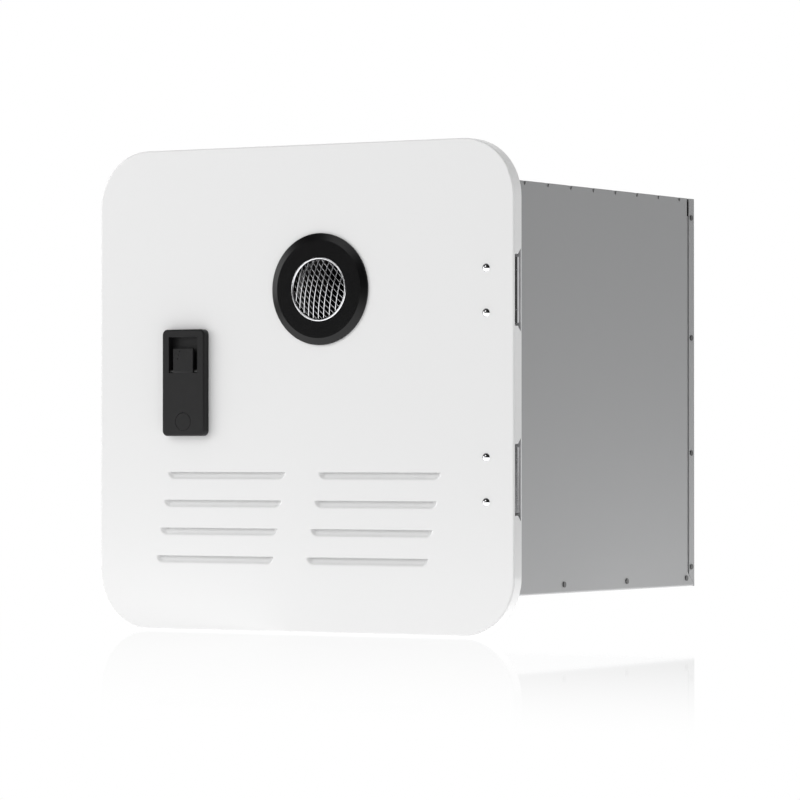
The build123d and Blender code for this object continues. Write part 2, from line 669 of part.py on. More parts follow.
# Louvre: a round trough with round ends and a soft lip, pressed in below a cut line
LOUVRE_STRAIGHT = LOUVRE_LENGTH / 2 - LOUVRE_REACH
LOUVRE_MIDDLE = LOUVRE_LEFT + LOUVRE_LENGTH / 2
LOUVRE_CENTRES = [(LOUVRE_MIDDLE + LOUVRE_COLUMNS * column + LOUVRE_SHIFT * row, DOOR_FRONT,
                   LOUVRE_TOP - LOUVRE_PITCH * row) for column in range(2) for row in range(LOUVRE_ROWS)]


def louvre_form(outline):
    """Sweep a half profile (reach below the cut line, depth) along one louvre and round both its ends."""
    with BuildPart(mode=Mode.PRIVATE) as form:
        start = Plane(origin=(-LOUVRE_STRAIGHT, 0, 0), x_dir=(0, 0, -1), z_dir=(1, 0, 0))
        with BuildSketch(start, mode=Mode.PRIVATE) as profile:
            add(outline)
        extrude(profile.sketch, amount=2 * LOUVRE_STRAIGHT)
        revolve(profile.sketch, axis=Axis((-LOUVRE_STRAIGHT, 0, 0), (0, 1, 0)), revolution_arc=90)
        with BuildSketch(start.offset(2 * LOUVRE_STRAIGHT), mode=Mode.PRIVATE) as far_profile:
            add(outline)
        revolve(far_profile.sketch, axis=Axis((LOUVRE_STRAIGHT, 0, 0), (0, -1, 0)), revolution_arc=90)
    return form.part


TROUGH_RADIUS = (LOUVRE_REACH**2 + LOUVRE_DEPTH**2) / (2 * LOUVRE_DEPTH)
TROUGH_CENTRE = LOUVRE_DEPTH - TROUGH_RADIUS
LIP_REACH = math.sqrt(LOUVRE_DEPTH * (2 * TROUGH_RADIUS + 2 * LOUVRE_LIP - LOUVRE_DEPTH))
LIP_RISE = LOUVRE_LIP - TROUGH_CENTRE
LIP_SHARE = TROUGH_RADIUS / (TROUGH_RADIUS + LOUVRE_LIP)
LIP_TURN = math.radians(225) + math.atan2(LIP_RISE, LIP_REACH) / 2
LIP_MIDDLE = (LIP_REACH + LOUVRE_LIP * math.cos(LIP_TURN), LOUVRE_LIP + LOUVRE_LIP * math.sin(LIP_TURN))
LIP_FOOT = (LIP_REACH * LIP_SHARE, TROUGH_CENTRE + LIP_RISE * LIP_SHARE)
with BuildSketch() as louvre_hollow:
    with BuildLine():
        Line((0, 0), (LIP_REACH, 0))
        ThreePointArc((LIP_REACH, 0), LIP_MIDDLE, LIP_FOOT)
        RadiusArc(LIP_FOOT, (0, LOUVRE_DEPTH), -TROUGH_RADIUS)
        Line((0, LOUVRE_DEPTH), (0, 0))
    make_face()

SHELL_RADIUS = TROUGH_RADIUS + DOOR_SHEET
SHELL_REACH = math.sqrt(SHELL_RADIUS**2 - TROUGH_CENTRE**2)
SHELL_DEPTH = LOUVRE_DEPTH + DOOR_SHEET
with BuildSketch() as louvre_shell:
    with BuildLine():
        Line((0, 0), (SHELL_REACH, 0))
        RadiusArc((SHELL_REACH, 0), (0, SHELL_DEPTH), -SHELL_RADIUS)
        Line((0, SHELL_DEPTH), (0, 0))
    make_face()

# Door: a shallow pan with soft front edges
with BuildPart() as door_panel:
    with BuildSketch(front_plane(DOOR_FRONT)):
        RectangleRounded(DOOR_SIZE, DOOR_SIZE, DOOR_CORNER)
    extrude(amount=-DOOR_DEPTH)
    fillet(door_panel.faces().sort_by(Axis.Y)[0].edges(), DOOR_BEND)
    with BuildSketch(front_plane(DOOR_BACK)):
        RectangleRounded(DOOR_SIZE - 2 * DOOR_SHEET, DOOR_SIZE - 2 * DOOR_SHEET, DOOR_CORNER - DOOR_SHEET)
    extrude(amount=-DOOR_DEPTH, mode=Mode.SUBTRACT)
    with Locations(*LOUVRE_CENTRES):
        add(louvre_form(louvre_shell.sketch))
    with Locations(*LOUVRE_CENTRES):
        add(louvre_form(louvre_hollow.sketch), mode=Mode.SUBTRACT)
    with BuildSketch(front_plane(DOOR_FRONT)):
        with Locations((OUTLET_X, OUTLET_Z)):
            Circle(RING_SPIGOT_RADIUS + SCREW_CLEARANCE)
        with Locations((LATCH_X, LATCH_MIDDLE)):
            Rectangle(HUB_WIDTH + GUIDE_CLEARANCE, HUB_HEIGHT + GUIDE_CLEARANCE)
        with Locations(*[(HINGE_SCREW_X, z) for z in HINGE_FASTENER_HEIGHTS]):
            Circle(HINGE_SCREW_RADIUS + SCREW_CLEARANCE)
    extrude(amount=-DOOR_SHEET, mode=Mode.SUBTRACT)
    for centre in HINGE_CENTRES:
        half = HINGE_NOTCH / 2
        corner = DOOR_FRONT + HINGE_NOTCH_STRAIGHT
        flare = DOOR_DEPTH - HINGE_NOTCH_STRAIGHT
        with BuildSketch(Plane.YZ.offset(DOOR_HALF)):
            with BuildLine():
                Polyline((DOOR_FRONT + DOOR_BEND, centre - half), (corner, centre - half),
                         (corner + flare, centre - half - flare), (corner + flare, centre + half + flare),
                         (corner, centre + half), (DOOR_FRONT + DOOR_BEND, centre + half), close=True)
            make_face()
        extrude(amount=-2 * DOOR_SHEET, mode=Mode.SUBTRACT)
save(door_panel, "door_panel")

# Outlet: black ring through the door, a metal screen ring in it and crossed wires
OUTLET_PLANE = Plane(origin=(OUTLET_X, DOOR_FRONT, OUTLET_Z), x_dir=(1, 0, 0), z_dir=(0, 0, 1))
OUTLET_AXIS = Axis((OUTLET_X, DOOR_FRONT, OUTLET_Z), (0, 1, 0))
with BuildPart() as outlet_ring:
    with BuildSketch(OUTLET_PLANE):
        with BuildLine():
            Polyline((SCREEN_RADIUS + FIXED_CLEARANCE, -RING_HEIGHT), (RING_FACE_RADIUS, -RING_HEIGHT),
                     (RING_RADIUS, -RING_SIDE), (RING_RADIUS, 0), (RING_SPIGOT_RADIUS, 0),
                     (RING_SPIGOT_RADIUS, RING_SPIGOT_DEPTH),
                     (SCREEN_RADIUS + FIXED_CLEARANCE, RING_SPIGOT_DEPTH), close=True)
        make_face()
    revolve(axis=OUTLET_AXIS)
save(outlet_ring, "outlet_ring")

SCREEN_FRONT = DOOR_FRONT - RING_HEIGHT - SCREEN_PROUD
SCREEN_INNER = SCREEN_RADIUS - SCREEN_RIM
with BuildPart() as screen_ring:
    with BuildSketch(front_plane(SCREEN_FRONT)):
        with Locations((OUTLET_X, OUTLET_Z)):
            Circle(SCREEN_RADIUS)
            Circle(SCREEN_INNER, mode=Mode.SUBTRACT)
    extrude(amount=-SCREEN_DEPTH)
    fillet(screen_ring.faces().sort_by(Axis.Y)[0].edges(), SCREEN_ROUND)
save(screen_ring, "screen_ring")


def wire_layer(radius, pitch, angle, depth):
    """Parallel wires that bulge forward, their ends just inside the screen ring."""
    reach = SCREEN_INNER - WIRE_CLEARANCE - radius
    ball = (reach**2 + SCREEN_DOME**2) / (2 * SCREEN_DOME)
    lean = math.radians(angle)
    along = Vector(math.cos(lean), 0, math.sin(lean))
    across = Vector(-math.sin(lean), 0, math.cos(lean))
    centre = Vector(OUTLET_X, depth, OUTLET_Z)
    count = int(2 * reach / pitch)
    for n in range(count):
        offset_across = (n - (count - 1) / 2) * pitch
        half_chord = math.sqrt(reach**2 - offset_across**2)
        rise = math.sqrt(ball**2 - offset_across**2) - (ball - SCREEN_DOME)
        middle = centre + across * offset_across
        start = middle - along * half_chord
        end = middle + along * half_chord
        with BuildLine(mode=Mode.PRIVATE) as route:
            ThreePointArc(start, middle - Vector(0, rise, 0), end)
        with BuildSketch(Plane(origin=start, z_dir=route.line % 0), mode=Mode.PRIVATE) as section:
            Circle(radius)
        sweep(section.sketch, path=route.line)


WIRE_SEAT = SCREEN_FRONT + SCREEN_SEAT
with BuildPart() as screen_wires:
    wire_layer(FRONT_WIRE_RADIUS, FRONT_WIRE_PITCH, FRONT_WIRE_ANGLE, WIRE_SEAT)
    wire_layer(REAR_WIRE_RADIUS, REAR_WIRE_PITCH, REAR_WIRE_ANGLE,
               WIRE_SEAT + FRONT_WIRE_RADIUS + REAR_WIRE_RADIUS + WIRE_CLEARANCE)
save(screen_wires, "screen_wires")


# Latch: a moulded body through the door, a tab on a pin, and a sliding bolt in a guide behind the door
POCKET_HALF = POCKET_WIDTH / 2
WINDOW_HALF = ARM_WIDTH / 2 + ARM_PLAY
RAIL_FRONT = HUB_BACK + GUIDE_CLEARANCE
BOLT_BACK = PIVOT_Y + ARM_LENGTH + FIXED_CLEARANCE
RAIL_BACK = BOLT_BACK + GUIDE_CLEARANCE
HUB_LOW = LATCH_MIDDLE - HUB_HEIGHT / 2
HUB_HIGH = LATCH_MIDDLE + HUB_HEIGHT / 2
GUIDE_LOW = HUB_LOW - 2 * GUIDE_MARGIN
GUIDE_HIGH = HUB_HIGH + 2 * GUIDE_MARGIN
BOLT_TOP = PIVOT_Z + BOLT_RISE
BOLT_BOTTOM = PIVOT_Z - BOLT_DROP
NOSE_FRONT = BOLT_BACK - NOSE_THICKNESS


def latch_block(half_width, front, back, low, high, mode=Mode.ADD):
    """Box centred on the latch from side to side."""
    block((LATCH_X - half_width, front, low), (LATCH_X + half_width, back, high), mode=mode)


def latch_rod(radius, half_width, mode=Mode.ADD):
    """Round bar along the latch's pivot."""
    rod(radius, (LATCH_X - half_width, PIVOT_Y, PIVOT_Z), (LATCH_X + half_width, PIVOT_Y, PIVOT_Z),
        mode=mode)


with BuildPart() as latch_body:
    with BuildSketch(front_plane(LATCH_FACE)):
        with Locations((LATCH_X, LATCH_MIDDLE)):
            RectangleRounded(LATCH_WIDTH, LATCH_HEIGHT, LATCH_CORNER)
    extrude(amount=-LATCH_PROUD)
    fillet(latch_body.faces().sort_by(Axis.Y)[0].edges(), LATCH_EDGE)
    latch_block(HUB_WIDTH / 2, DOOR_FRONT, HUB_BACK, HUB_LOW, HUB_HIGH)
    latch_block(POCKET_HALF, LATCH_FACE, LATCH_FACE + POCKET_DEPTH, LATCH_TOP - POCKET_BOTTOM,
                LATCH_TOP - POCKET_TOP, mode=Mode.SUBTRACT)
    latch_rod(BARREL_RADIUS + BARREL_CLEARANCE, POCKET_HALF, mode=Mode.SUBTRACT)
    latch_block(WINDOW_HALF, PIVOT_Y, HUB_BACK, PIVOT_Z - ARM_THICKNESS, PIVOT_Z + BOLT_TRAVEL,
                mode=Mode.SUBTRACT)
    latch_rod(LATCH_PIN_RADIUS + FIXED_CLEARANCE, POCKET_HALF + LATCH_PIN_GRIP, mode=Mode.SUBTRACT)
    rod(BLANK_RADIUS + BLANK_GAP, (LATCH_X, LATCH_FACE, LATCH_BOTTOM + BLANK_RISE),
        (LATCH_X, LATCH_FACE + BLANK_DEPTH, LATCH_BOTTOM + BLANK_RISE), mode=Mode.SUBTRACT)
save(latch_body, "latch_body")

with BuildPart() as latch_paddle:
    latch_block(TAB_WIDTH / 2, LATCH_FACE, LATCH_FACE + TAB_SHEET, PIVOT_Z, LATCH_TOP - TAB_TOP)
    latch_rod(BARREL_RADIUS, TAB_WIDTH / 2)
    latch_block(ARM_WIDTH / 2, PIVOT_Y, PIVOT_Y + ARM_LENGTH, PIVOT_Z - ARM_THICKNESS / 2,
                PIVOT_Z + ARM_THICKNESS / 2)
    latch_rod(LATCH_PIN_RADIUS + RUNNING_CLEARANCE, TAB_WIDTH, mode=Mode.SUBTRACT)
    for from_left, from_top in DIMPLES:
        x = LATCH_X - LATCH_WIDTH / 2 + from_left
        z = LATCH_TOP - from_top
        rod(DIMPLE_RADIUS, (x, LATCH_FACE, z), (x, LATCH_FACE + DIMPLE_RADIUS, z), mode=Mode.SUBTRACT)
save(latch_paddle, "latch_paddle")

with BuildPart() as latch_pin:
    latch_rod(LATCH_PIN_RADIUS, POCKET_HALF + LATCH_PIN_GRIP)
save(latch_pin, "latch_pin")

with BuildPart() as lock_blank:
    rod(BLANK_RADIUS, (LATCH_X, LATCH_FACE, LATCH_BOTTOM + BLANK_RISE),
        (LATCH_X, LATCH_FACE + BLANK_DEPTH, LATCH_BOTTOM + BLANK_RISE))
save(lock_blank, "lock_blank")

RAIL_INNER = BOLT_WIDTH / 2 + GUIDE_CLEARANCE
RAIL_OUTER = RAIL_INNER + GUIDE_RAIL
PLATE_BACK = DOOR_BACK + GUIDE_PLATE
with BuildPart() as latch_guide:
    latch_block(HUB_WIDTH / 2 + 2 * GUIDE_MARGIN, DOOR_BACK, PLATE_BACK, GUIDE_LOW, GUIDE_HIGH)
    latch_block((HUB_WIDTH + GUIDE_CLEARANCE) / 2, DOOR_BACK, PLATE_BACK, HUB_LOW - GUIDE_CLEARANCE,
                HUB_HIGH + GUIDE_CLEARANCE, mode=Mode.SUBTRACT)
    latch_block(RAIL_OUTER, RAIL_FRONT, RAIL_BACK, GUIDE_LOW, GUIDE_HIGH)
    latch_block(RAIL_OUTER, PLATE_BACK, RAIL_FRONT, GUIDE_LOW, HUB_LOW - GUIDE_CLEARANCE)
    latch_block(RAIL_OUTER, PLATE_BACK, RAIL_FRONT, HUB_HIGH + GUIDE_CLEARANCE, GUIDE_HIGH)
    latch_block(RAIL_INNER, DOOR_BACK, RAIL_BACK, GUIDE_LOW, HUB_HIGH, mode=Mode.SUBTRACT)
    latch_block(RAIL_OUTER, RAIL_BACK, RAIL_BACK + GUIDE_COVER, BOLT_TOP - GUIDE_BAR, BOLT_TOP)
    latch_block(RAIL_OUTER, RAIL_BACK, RAIL_BACK + GUIDE_COVER, BOLT_BOTTOM + 2 * NOSE_LENGTH - GUIDE_BAR,
                BOLT_BOTTOM + 2 * NOSE_LENGTH)
save(latch_guide, "latch_guide")

with BuildPart() as latch_bolt:
    latch_block(BOLT_WIDTH / 2, RAIL_FRONT, BOLT_BACK, BOLT_BOTTOM + NOSE_LENGTH, BOLT_TOP)
    latch_block(KEEPER_WIDTH / 2, NOSE_FRONT, BOLT_BACK, BOLT_BOTTOM, BOLT_BOTTOM + NOSE_LENGTH)
    latch_block(WINDOW_HALF, RAIL_FRONT, BOLT_BACK, PIVOT_Z - WINDOW_DROP,
                PIVOT_Z + ARM_THICKNESS / 2 + ARM_LIFT_GAP, mode=Mode.SUBTRACT)
save(latch_bolt, "latch_bolt")

# Leaf spring between the bolt and the head of its guide
SPRING_LOW = BOLT_TOP + GUIDE_CLEARANCE
SPRING_HIGH = HUB_HIGH - GUIDE_CLEARANCE
with BuildPart() as latch_spring:
    with BuildSketch(Plane.YZ.offset(LATCH_X)):
        with BuildLine():
            tip = (BOLT_BACK - SPRING_SHEET, (SPRING_LOW + SPRING_HIGH) / 2)
            crook = (tip[0] - 2 * SPRING_SHEET, tip[1])
            Polyline((RAIL_FRONT, SPRING_LOW), (RAIL_FRONT + SPRING_SHEET, SPRING_LOW), tip,
                     (RAIL_FRONT + SPRING_SHEET, SPRING_HIGH), (RAIL_FRONT, SPRING_HIGH), crook, close=True)
        make_face()
    extrude(amount=ARM_WIDTH / 2, both=True)
save(latch_spring, "latch_spring")

# Keeper: a spring-steel strip on the service plate whose lip stands in front of the bolt's nose
KEEPER_ARM = BOLT_BOTTOM - KEEPER_DROP
LIP_BACK = NOSE_FRONT - ARM_PLAY
with BuildPart() as latch_keeper:
    latch_block(KEEPER_WIDTH / 2, LIP_BACK - KEEPER_SHEET, LIP_BACK, KEEPER_ARM - KEEPER_SHEET,
                BOLT_BOTTOM + KEEPER_OVERLAP)
    latch_block(KEEPER_WIDTH / 2, LIP_BACK - KEEPER_SHEET, SERVICE_SETBACK, KEEPER_ARM - KEEPER_SHEET,
                KEEPER_ARM)
    latch_block(KEEPER_WIDTH / 2, SERVICE_SETBACK - KEEPER_SHEET, SERVICE_SETBACK, KEEPER_ARM - KEEPER_FOOT,
                KEEPER_ARM)
save(latch_keeper, "latch_keeper")


# Burner: a box on the base tray, burner bars on two rails and a gas manifold with jets in front
CENTRE_X = OUTLET_X
BAR_TOP = CHAMBER_BASE - CHAMBER_WALL
BAR_BASE = BAR_TOP - BURNER_HEIGHT
BAR_FRONT = CHAMBER_FRONT + JET_LENGTH
BAR_BACK = BAR_FRONT + BURNER_LENGTH
BAR_PITCH = (CHAMBER_WIDTH - 2 * CHAMBER_WALL) / BURNER_COUNT
BAR_PLACES = [CENTRE_X + (n - (BURNER_COUNT - 1) / 2) * BAR_PITCH for n in range(BURNER_COUNT)]
JET_Z = (BAR_TOP + BAR_BASE) / 2
MANIFOLD_Y = CHAMBER_FRONT - JET_LENGTH - MANIFOLD_RADIUS / 2
FRONT_INNER = CHAMBER_FRONT + CHAMBER_WALL
FAN_Z = TRAY_FLOOR + FAN_RADIUS + FAN_WALL
FAN_WHEEL_RADIUS = FAN_RADIUS - FAN_WALL - FAN_TIP_GAP
FAN_BACK = CHAMBER_BACK + FAN_DEPTH


def chamber_block(inset, low, high, mode=Mode.ADD):
    """Box over the footprint of the burner and the heat exchanger."""
    block((CENTRE_X - CHAMBER_HALF + inset, CHAMBER_FRONT + inset, low),
          (CENTRE_X + CHAMBER_HALF - inset, CHAMBER_BACK - inset, high), mode=mode)


with BuildPart() as burner_box:
    chamber_block(0, TRAY_FLOOR, CHAMBER_BASE)
    chamber_block(CHAMBER_WALL, TRAY_FLOOR + CHAMBER_WALL, CHAMBER_BASE, mode=Mode.SUBTRACT)
    for y in (BAR_FRONT + BURNER_WIDTH, BAR_BACK - BURNER_WIDTH):
        block((CENTRE_X - CHAMBER_HALF, y - BURNER_SLOT, BAR_BASE - BURNER_SLOT),
              (CENTRE_X + CHAMBER_HALF, y + BURNER_SLOT, BAR_BASE))
    for x in BAR_PLACES:
        rod(JET_RADIUS + SCREW_CLEARANCE, (x, CHAMBER_FRONT, JET_Z), (x, FRONT_INNER, JET_Z),
            mode=Mode.SUBTRACT)
    rod(FAN_RADIUS - FAN_WALL, (CENTRE_X, CHAMBER_BACK - CHAMBER_WALL, FAN_Z),
        (CENTRE_X, CHAMBER_BACK, FAN_Z), mode=Mode.SUBTRACT)
save(burner_box, "burner_box")

with BuildPart() as burner_bars:
    for x in BAR_PLACES:
        block((x - BURNER_WIDTH / 2, BAR_FRONT, BAR_BASE), (x + BURNER_WIDTH / 2, BAR_BACK, BAR_TOP))
        block((x - BURNER_SLOT / 2, BAR_FRONT + BURNER_WIDTH, JET_Z),
              (x + BURNER_SLOT / 2, BAR_BACK, BAR_TOP), mode=Mode.SUBTRACT)
        rod(JET_RADIUS, (x, BAR_FRONT, JET_Z), (x, BAR_FRONT + BURNER_WIDTH, JET_Z), mode=Mode.SUBTRACT)
save(burner_bars, "burner_bars")

VALVE_FRONT = MANIFOLD_Y - 2 * MANIFOLD_RADIUS
VALVE_BACK = VALVE_FRONT + VALVE_DEPTH
VALVE_LEFT = GAS_X - VALVE_WIDTH / 2
VALVE_TOP = GAS_Z + VALVE_HEIGHT / 2
COIL_TOP = VALVE_TOP + COIL_HEIGHT
with BuildPart() as gas_manifold:
    rod(MANIFOLD_RADIUS, (BAR_PLACES[0] - BURNER_WIDTH, MANIFOLD_Y, JET_Z), (VALVE_LEFT, MANIFOLD_Y, JET_Z))
    for x in BAR_PLACES:
        rod(JET_RADIUS, (x, MANIFOLD_Y, JET_Z), (x, CHAMBER_FRONT + BURNER_SLOT, JET_Z))
save(gas_manifold, "gas_manifold")

with BuildPart() as gas_valve:
    block((VALVE_LEFT, VALVE_FRONT, GAS_Z - VALVE_HEIGHT / 2),
          (VALVE_LEFT + VALVE_WIDTH, VALVE_BACK, VALVE_TOP))
    fillet(gas_valve.edges().filter_by(Axis.Z), CHAMBER_WALL * 3)
    block((GAS_X - COIL_RADIUS, VALVE_FRONT + COIL_RADIUS, TRAY_FLOOR),
          (GAS_X + COIL_RADIUS, VALVE_BACK - COIL_RADIUS, GAS_Z))
save(gas_valve, "gas_valve")

with BuildPart() as gas_valve_coils:
    for y in (VALVE_FRONT + VALVE_DEPTH / 4, VALVE_BACK - VALVE_DEPTH / 4):
        rod(COIL_RADIUS, (GAS_X, y, VALVE_TOP), (GAS_X, y, COIL_TOP))
        rod(COIL_RADIUS / 3, (GAS_X, y, COIL_TOP), (GAS_X, y, COIL_TOP + COIL_RADIUS / 3))
save(gas_valve_coils, "gas_valve_coils")


# Rear fittings: a free stub and a nut outside, a shoulder against the rear cover and a socket inside
SOCKET_FRONT = REAR_INNER - FITTING_FLANGE


def fitting(x, z, stub, bore):
    """Pipe fitting through the rear cover."""
    rod(stub, (x, SOCKET_FRONT, z), (x, CASE_DEPTH + FITTING_REACH, z))
    rod(stub + FITTING_SHOULDER, (x, REAR_INNER - FITTING_SHOULDER, z), (x, REAR_INNER, z))
    with BuildSketch(front_plane(CASE_DEPTH), mode=Mode.PRIVATE) as nut:
        with Locations((x, z)):
            RegularPolygon(stub + FITTING_SHOULDER, 6)
    extrude(nut.sketch, amount=-FITTING_NUT)
    rod(bore, (x, SOCKET_FRONT, z), (x, CASE_DEPTH + FITTING_REACH, z), mode=Mode.SUBTRACT)


with BuildPart() as gas_inlet:
    fitting(GAS_X, GAS_Z, GAS_RADIUS, GAS_PIPE_RADIUS - TUBE_WALL)
save(gas_inlet, "gas_inlet")

with BuildPart() as gas_pipe:
    pipe([(GAS_X, VALVE_BACK, GAS_Z), (GAS_X, SOCKET_FRONT, GAS_Z)], GAS_PIPE_RADIUS, TUBE_WALL, PIPE_BEND)
save(gas_pipe, "gas_pipe")

# Heat exchanger: a shell on the burner box, a fin stack and a tube that runs to and fro through it
CHAMBER_MIDDLE = (CHAMBER_FRONT + CHAMBER_BACK) / 2
RUN_DEPTHS = [CHAMBER_MIDDLE + (n - (TUBE_RUNS - 1) / 2) * TUBE_PITCH for n in range(TUBE_RUNS)]
TUBE_LEFT = CENTRE_X - CHAMBER_HALF - TUBE_TAIL / 2
TUBE_RIGHT = CENTRE_X + CHAMBER_HALF + TUBE_TAIL / 2
TUBE_END = TUBE_LEFT - TUBE_TAIL
ELECTRODE_Z = CHAMBER_BASE + 3 * ELECTRODE_RADIUS
ELECTRODE_PLACES = [CENTRE_X + side * ELECTRODE_SPACING / 2 for side in SIDES]

with BuildPart() as exchanger_shell:
    chamber_block(0, CHAMBER_BASE, CHAMBER_TOP)
    chamber_block(CHAMBER_WALL, CHAMBER_BASE, CHAMBER_TOP, mode=Mode.SUBTRACT)
    for y in RUN_DEPTHS:
        rod(TUBE_RADIUS + TUBE_CLEARANCE, (TUBE_LEFT, y, TUBE_Z), (TUBE_RIGHT, y, TUBE_Z),
            mode=Mode.SUBTRACT)
    for x in ELECTRODE_PLACES:
        rod(ELECTRODE_RADIUS + SCREW_CLEARANCE, (x, CHAMBER_FRONT, ELECTRODE_Z),
            (x, FRONT_INNER, ELECTRODE_Z), mode=Mode.SUBTRACT)
save(exchanger_shell, "exchanger_shell")

FIN_PITCH = (CHAMBER_WIDTH - 2 * CHAMBER_WALL) / FIN_COUNT
with BuildPart() as exchanger_fins:
    for n in range(FIN_COUNT):
        x = CENTRE_X + (n - (FIN_COUNT - 1) / 2) * FIN_PITCH
        with BuildSketch(Plane.YZ.offset(x)):
            with Locations((CHAMBER_MIDDLE, TUBE_Z)):
                Rectangle(FIN_DEPTH, FIN_HEIGHT)
            with Locations(*[(y, TUBE_Z) for y in RUN_DEPTHS]):
                Circle(TUBE_RADIUS + TUBE_CLEARANCE, mode=Mode.SUBTRACT)
        extrude(amount=FIN_SHEET)
save(exchanger_fins, "exchanger_fins")

with BuildPart() as exchanger_tube:
    with BuildLine() as tube_route:
        for n, y in enumerate(RUN_DEPTHS):
            here, there = (TUBE_LEFT, TUBE_RIGHT) if n % 2 == 0 else (TUBE_RIGHT, TUBE_LEFT)
            begin = TUBE_END if n == 0 else here
            finish = TUBE_END if n == TUBE_RUNS - 1 else there
            Line((begin, y, TUBE_Z), (finish, y, TUBE_Z))
            if n < TUBE_RUNS - 1:
                bulge = there + math.copysign(TUBE_PITCH / 2, there - here)
                ThreePointArc((there, y, TUBE_Z), (bulge, y + TUBE_PITCH / 2, TUBE_Z),
                              (there, y + TUBE_PITCH, TUBE_Z))
    with BuildSketch(Plane(origin=(TUBE_END, RUN_DEPTHS[0], TUBE_Z), z_dir=(1, 0, 0))):
        Circle(TUBE_RADIUS)
        Circle(TUBE_RADIUS - TUBE_WALL, mode=Mode.SUBTRACT)
    sweep(path=tube_route.wire())
save(exchanger_tube, "exchanger_tube")

# Flue: a hood on the shell and a pipe to a seal behind the outlet ring
HOOD_TOP = OUTLET_Z + FLUE_RADIUS + HOOD_HEADROOM


def hood_form(inset, low, front, back, mode):
    """Hood body with bevelled shoulders, drawn from the front."""
    half = CHAMBER_HALF - inset
    top = HOOD_TOP - inset
    with BuildSketch(front_plane(back), mode=Mode.PRIVATE) as outline:
        with BuildLine():
            Polyline((CENTRE_X - half, low), (CENTRE_X + half, low), (CENTRE_X + half, top - HOOD_BEVEL),
                     (CENTRE_X + half - HOOD_BEVEL, top), (CENTRE_X - half + HOOD_BEVEL, top),
                     (CENTRE_X - half, top - HOOD_BEVEL), close=True)
        make_face()
    extrude(outline.sketch, amount=back - front, mode=mode)


with BuildPart() as flue_hood:
    hood_form(0, CHAMBER_TOP, CHAMBER_FRONT, CHAMBER_BACK, Mode.ADD)
    hood_form(CHAMBER_WALL, CHAMBER_TOP, FRONT_INNER, CHAMBER_BACK - CHAMBER_WALL, Mode.SUBTRACT)
    rod(FLUE_RADIUS - FLUE_WALL, (OUTLET_X, CHAMBER_FRONT, OUTLET_Z), (OUTLET_X, FRONT_INNER, OUTLET_Z),
        mode=Mode.SUBTRACT)
save(flue_hood, "flue_hood")

SEAL_FRONT = DOOR_FRONT + RING_SPIGOT_DEPTH + SEAL_RELIEF
FLUE_FRONT = SEAL_FRONT + FLUE_SEAL_DEPTH
with BuildPart() as flue_pipe:
    pipe([(OUTLET_X, FLUE_FRONT, OUTLET_Z), (OUTLET_X, CHAMBER_FRONT, OUTLET_Z)], FLUE_RADIUS, FLUE_WALL,
         PIPE_BEND)
save(flue_pipe, "flue_pipe")

with BuildPart() as flue_seal:
    rod(RING_SPIGOT_RADIUS, (OUTLET_X, SEAL_FRONT, OUTLET_Z), (OUTLET_X, FLUE_FRONT, OUTLET_Z))
    rod(SCREEN_RADIUS, (OUTLET_X, SEAL_FRONT, OUTLET_Z), (OUTLET_X, FLUE_FRONT, OUTLET_Z),
        mode=Mode.SUBTRACT)
save(flue_seal, "flue_seal")

SENSOR_TOP = HOOD_TOP + SENSOR_HEIGHT
with BuildPart() as overheat_sensors:
    for x in ELECTRODE_PLACES:
        rod(SENSOR_RADIUS, (x, CHAMBER_MIDDLE, HOOD_TOP), (x, CHAMBER_MIDDLE, SENSOR_TOP))
        rod(SENSOR_RADIUS / 2, (x, CHAMBER_MIDDLE, SENSOR_TOP),
            (x, CHAMBER_MIDDLE, SENSOR_TOP + SENSOR_HEIGHT))
save(overheat_sensors, "overheat_sensors")

with BuildPart() as electrodes:
    for x in ELECTRODE_PLACES:
        rod(ELECTRODE_RADIUS, (x, CHAMBER_FRONT - 5 * ELECTRODE_RADIUS, ELECTRODE_Z),
            (x, CHAMBER_FRONT + 2 * ELECTRODE_RADIUS, ELECTRODE_Z))
        rod(2 * ELECTRODE_RADIUS, (x, CHAMBER_FRONT - ELECTRODE_RADIUS / 2, ELECTRODE_Z),
            (x, CHAMBER_FRONT, ELECTRODE_Z))
        rod(ELECTRODE_RADIUS / 3, (x, CHAMBER_FRONT, ELECTRODE_Z),
            (x, CHAMBER_FRONT + 6 * ELECTRODE_RADIUS, ELECTRODE_Z))
save(electrodes, "electrodes")


# Water lines: inlet with flow sensor, block with drain and relief valve, riser, hot pipe and outlet
BLOCK_Y = RUN_DEPTHS[0]
BLOCK_FRONT = BLOCK_Y - BLOCK_DEPTH / 2
BLOCK_BACK = BLOCK_Y + BLOCK_DEPTH / 2

with BuildPart() as water_inlet:
    fitting(WATER_X, COLD_Z, FITTING_RADIUS, TUBE_RADIUS - TUBE_WALL)
save(water_inlet, "water_inlet")

with BuildPart() as water_outlet:
    fitting(HOT_X, HOT_Z, FITTING_RADIUS, TUBE_RADIUS - TUBE_WALL)
save(water_outlet, "water_outlet")

with BuildPart() as flow_sensor:
    middle = (BLOCK_BACK + SOCKET_FRONT) / 2
    rod(TUBE_RADIUS, (WATER_X, BLOCK_BACK, COLD_Z), (WATER_X, SOCKET_FRONT, COLD_Z))
    rod(FLOW_RADIUS, (WATER_X, middle - FLOW_LENGTH / 2, COLD_Z),
        (WATER_X, middle + FLOW_LENGTH / 2, COLD_Z))
    block((WATER_X - TUBE_RADIUS, middle - FLOW_RADIUS, COLD_Z),
          (WATER_X + TUBE_RADIUS, middle + FLOW_RADIUS, COLD_Z + FLOW_RADIUS + TUBE_RADIUS))
    rod(TUBE_RADIUS - TUBE_WALL, (WATER_X, BLOCK_BACK, COLD_Z), (WATER_X, SOCKET_FRONT, COLD_Z),
        mode=Mode.SUBTRACT)
save(flow_sensor, "flow_sensor")

